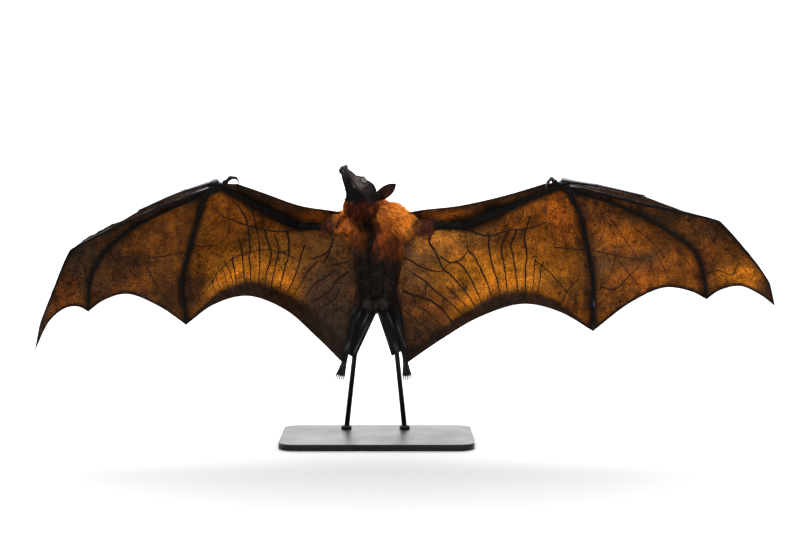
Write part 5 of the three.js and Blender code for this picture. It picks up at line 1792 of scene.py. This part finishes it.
# Each light: where it hangs, what it aims at, its width and height, and its power in watts
LIGHTS = {
    "key_light": ((-1.1, -2.3, 2.3), (0, 0, 0.28), (1.6, 1.2), 58),
    "fill_light": ((1.8, -2.2, 1.0), (0.1, 0, 0.28), (1.4, 1.4), 18),
    "back_light": ((0.15, 1.3, 1.25), (0.1, 0, 0.3), (2.6, 1.4), 62),
    "sweep_light": ((0, 4.0, 3.2), (0, 5.2, 0.2), (6.0, 2.0), 200),
}
ROOM_LIGHT = 0.32
CAMERA_TILT = math.radians(4)
CAMERA_FAR = 3.0
SENSOR_WIDTH = 36
VIEW_WIDTH = 1.24
TARGET = Vector((0.036, -0.015, 0.275))

cove_profile = [(0.5, 0.0), (FLOOR_RADIUS, 0.0)]
for turn in np.linspace(0.1, math.pi / 2, 16):
    cove_profile.append((FLOOR_RADIUS + math.sin(turn) * COVE_BEND, COVE_BEND - math.cos(turn) * COVE_BEND))
cove_profile.append((FLOOR_RADIUS + COVE_BEND, COVE_TOP))
angle = np.arange(COVE_SIDES) * 2 * np.pi / COVE_SIDES
cove_rings = []
for radius, height in cove_profile:
    cove_rings.append(np.stack([radius * np.cos(angle), radius * np.sin(angle), height + 0 * angle], 1))
step = np.arange(COVE_SIDES)
centre = np.full(COVE_SIDES, len(cove_profile) * COVE_SIDES)
cove_middle = np.stack([centre, step, (step + 1) % COVE_SIDES], 1)
cove_faces = [rings_to_faces(len(cove_profile), COVE_SIDES)[:, ::-1], cove_middle]
studio_floor = make_mesh("studio_floor", np.concatenate([*cove_rings, [(0, 0, 0)]]), cove_faces)
paper, tree, shader = new_finish("studio_paper")
place = in_place(tree)
paper_tone = blend(tree, "MIX", noise(tree, place, 2.0), (0.8, 0.8, 0.8, 1), (0.82, 0.82, 0.82, 1))
from_stand = put(tree, "ShaderNodeVectorMath", {0: place}, operation="LENGTH").outputs["Value"]
# Painted shade: the paper is a little darker round the stand, so that its soft shadow shows
wear_and_floor_shade = spread(tree, from_stand, 0.15, 1.4, 0.6, 1.0)
paper_tone = put(tree, "ShaderNodeVectorMath", {0: paper_tone, 3: wear_and_floor_shade}, operation="SCALE").outputs[0]
tree.links.new(paper_tone, shader.inputs["Base Color"])
shader.inputs["Roughness"].default_value = 0.9
shader.inputs["Emission Color"].default_value = (1, 1, 1, 1)
high = put(tree, "ShaderNodeSeparateXYZ", {0: place}).outputs["Z"]
tree.links.new(spread(tree, high, 0.01, 0.4, 0.08, 0.8), shader.inputs["Emission Strength"])
paper.cycles.emission_sampling = "NONE"
studio_floor.data.materials.append(paper)

for name, (place, aim, size, power) in LIGHTS.items():
    light = bpy.data.lights.new(name, "AREA")
    light.shape = "RECTANGLE"
    light.size, light.size_y = size
    light.energy = power
    lamp = bpy.data.objects.new(name, light)
    lamp.location = place
    lamp.rotation_mode = "QUATERNION"
    lamp.rotation_quaternion = (Vector(aim) - Vector(place)).to_track_quat("-Z", "Y")
    bpy.context.scene.collection.objects.link(lamp)

world = bpy.data.worlds.new("studio")
world.use_nodes = True
background = world.node_tree.nodes["Background"]
background.inputs["Color"].default_value = (1, 1, 1, 1)
background.inputs["Strength"].default_value = ROOM_LIGHT
bpy.context.scene.world = world
bpy.context.scene.view_settings.view_transform = "Standard"

camera = bpy.data.cameras.new("camera")
camera.sensor_width = SENSOR_WIDTH
camera.lens = SENSOR_WIDTH * CAMERA_FAR / VIEW_WIDTH
camera_object = bpy.data.objects.new("camera", camera)
look = Vector((0, math.cos(CAMERA_TILT), -math.sin(CAMERA_TILT)))
camera_object.location = TARGET - look * CAMERA_FAR
camera_object.rotation_mode = "QUATERNION"
camera_object.rotation_quaternion = look.to_track_quat("-Z", "Y")
bpy.context.scene.collection.objects.link(camera_object)
bpy.context.scene.camera = camera_object
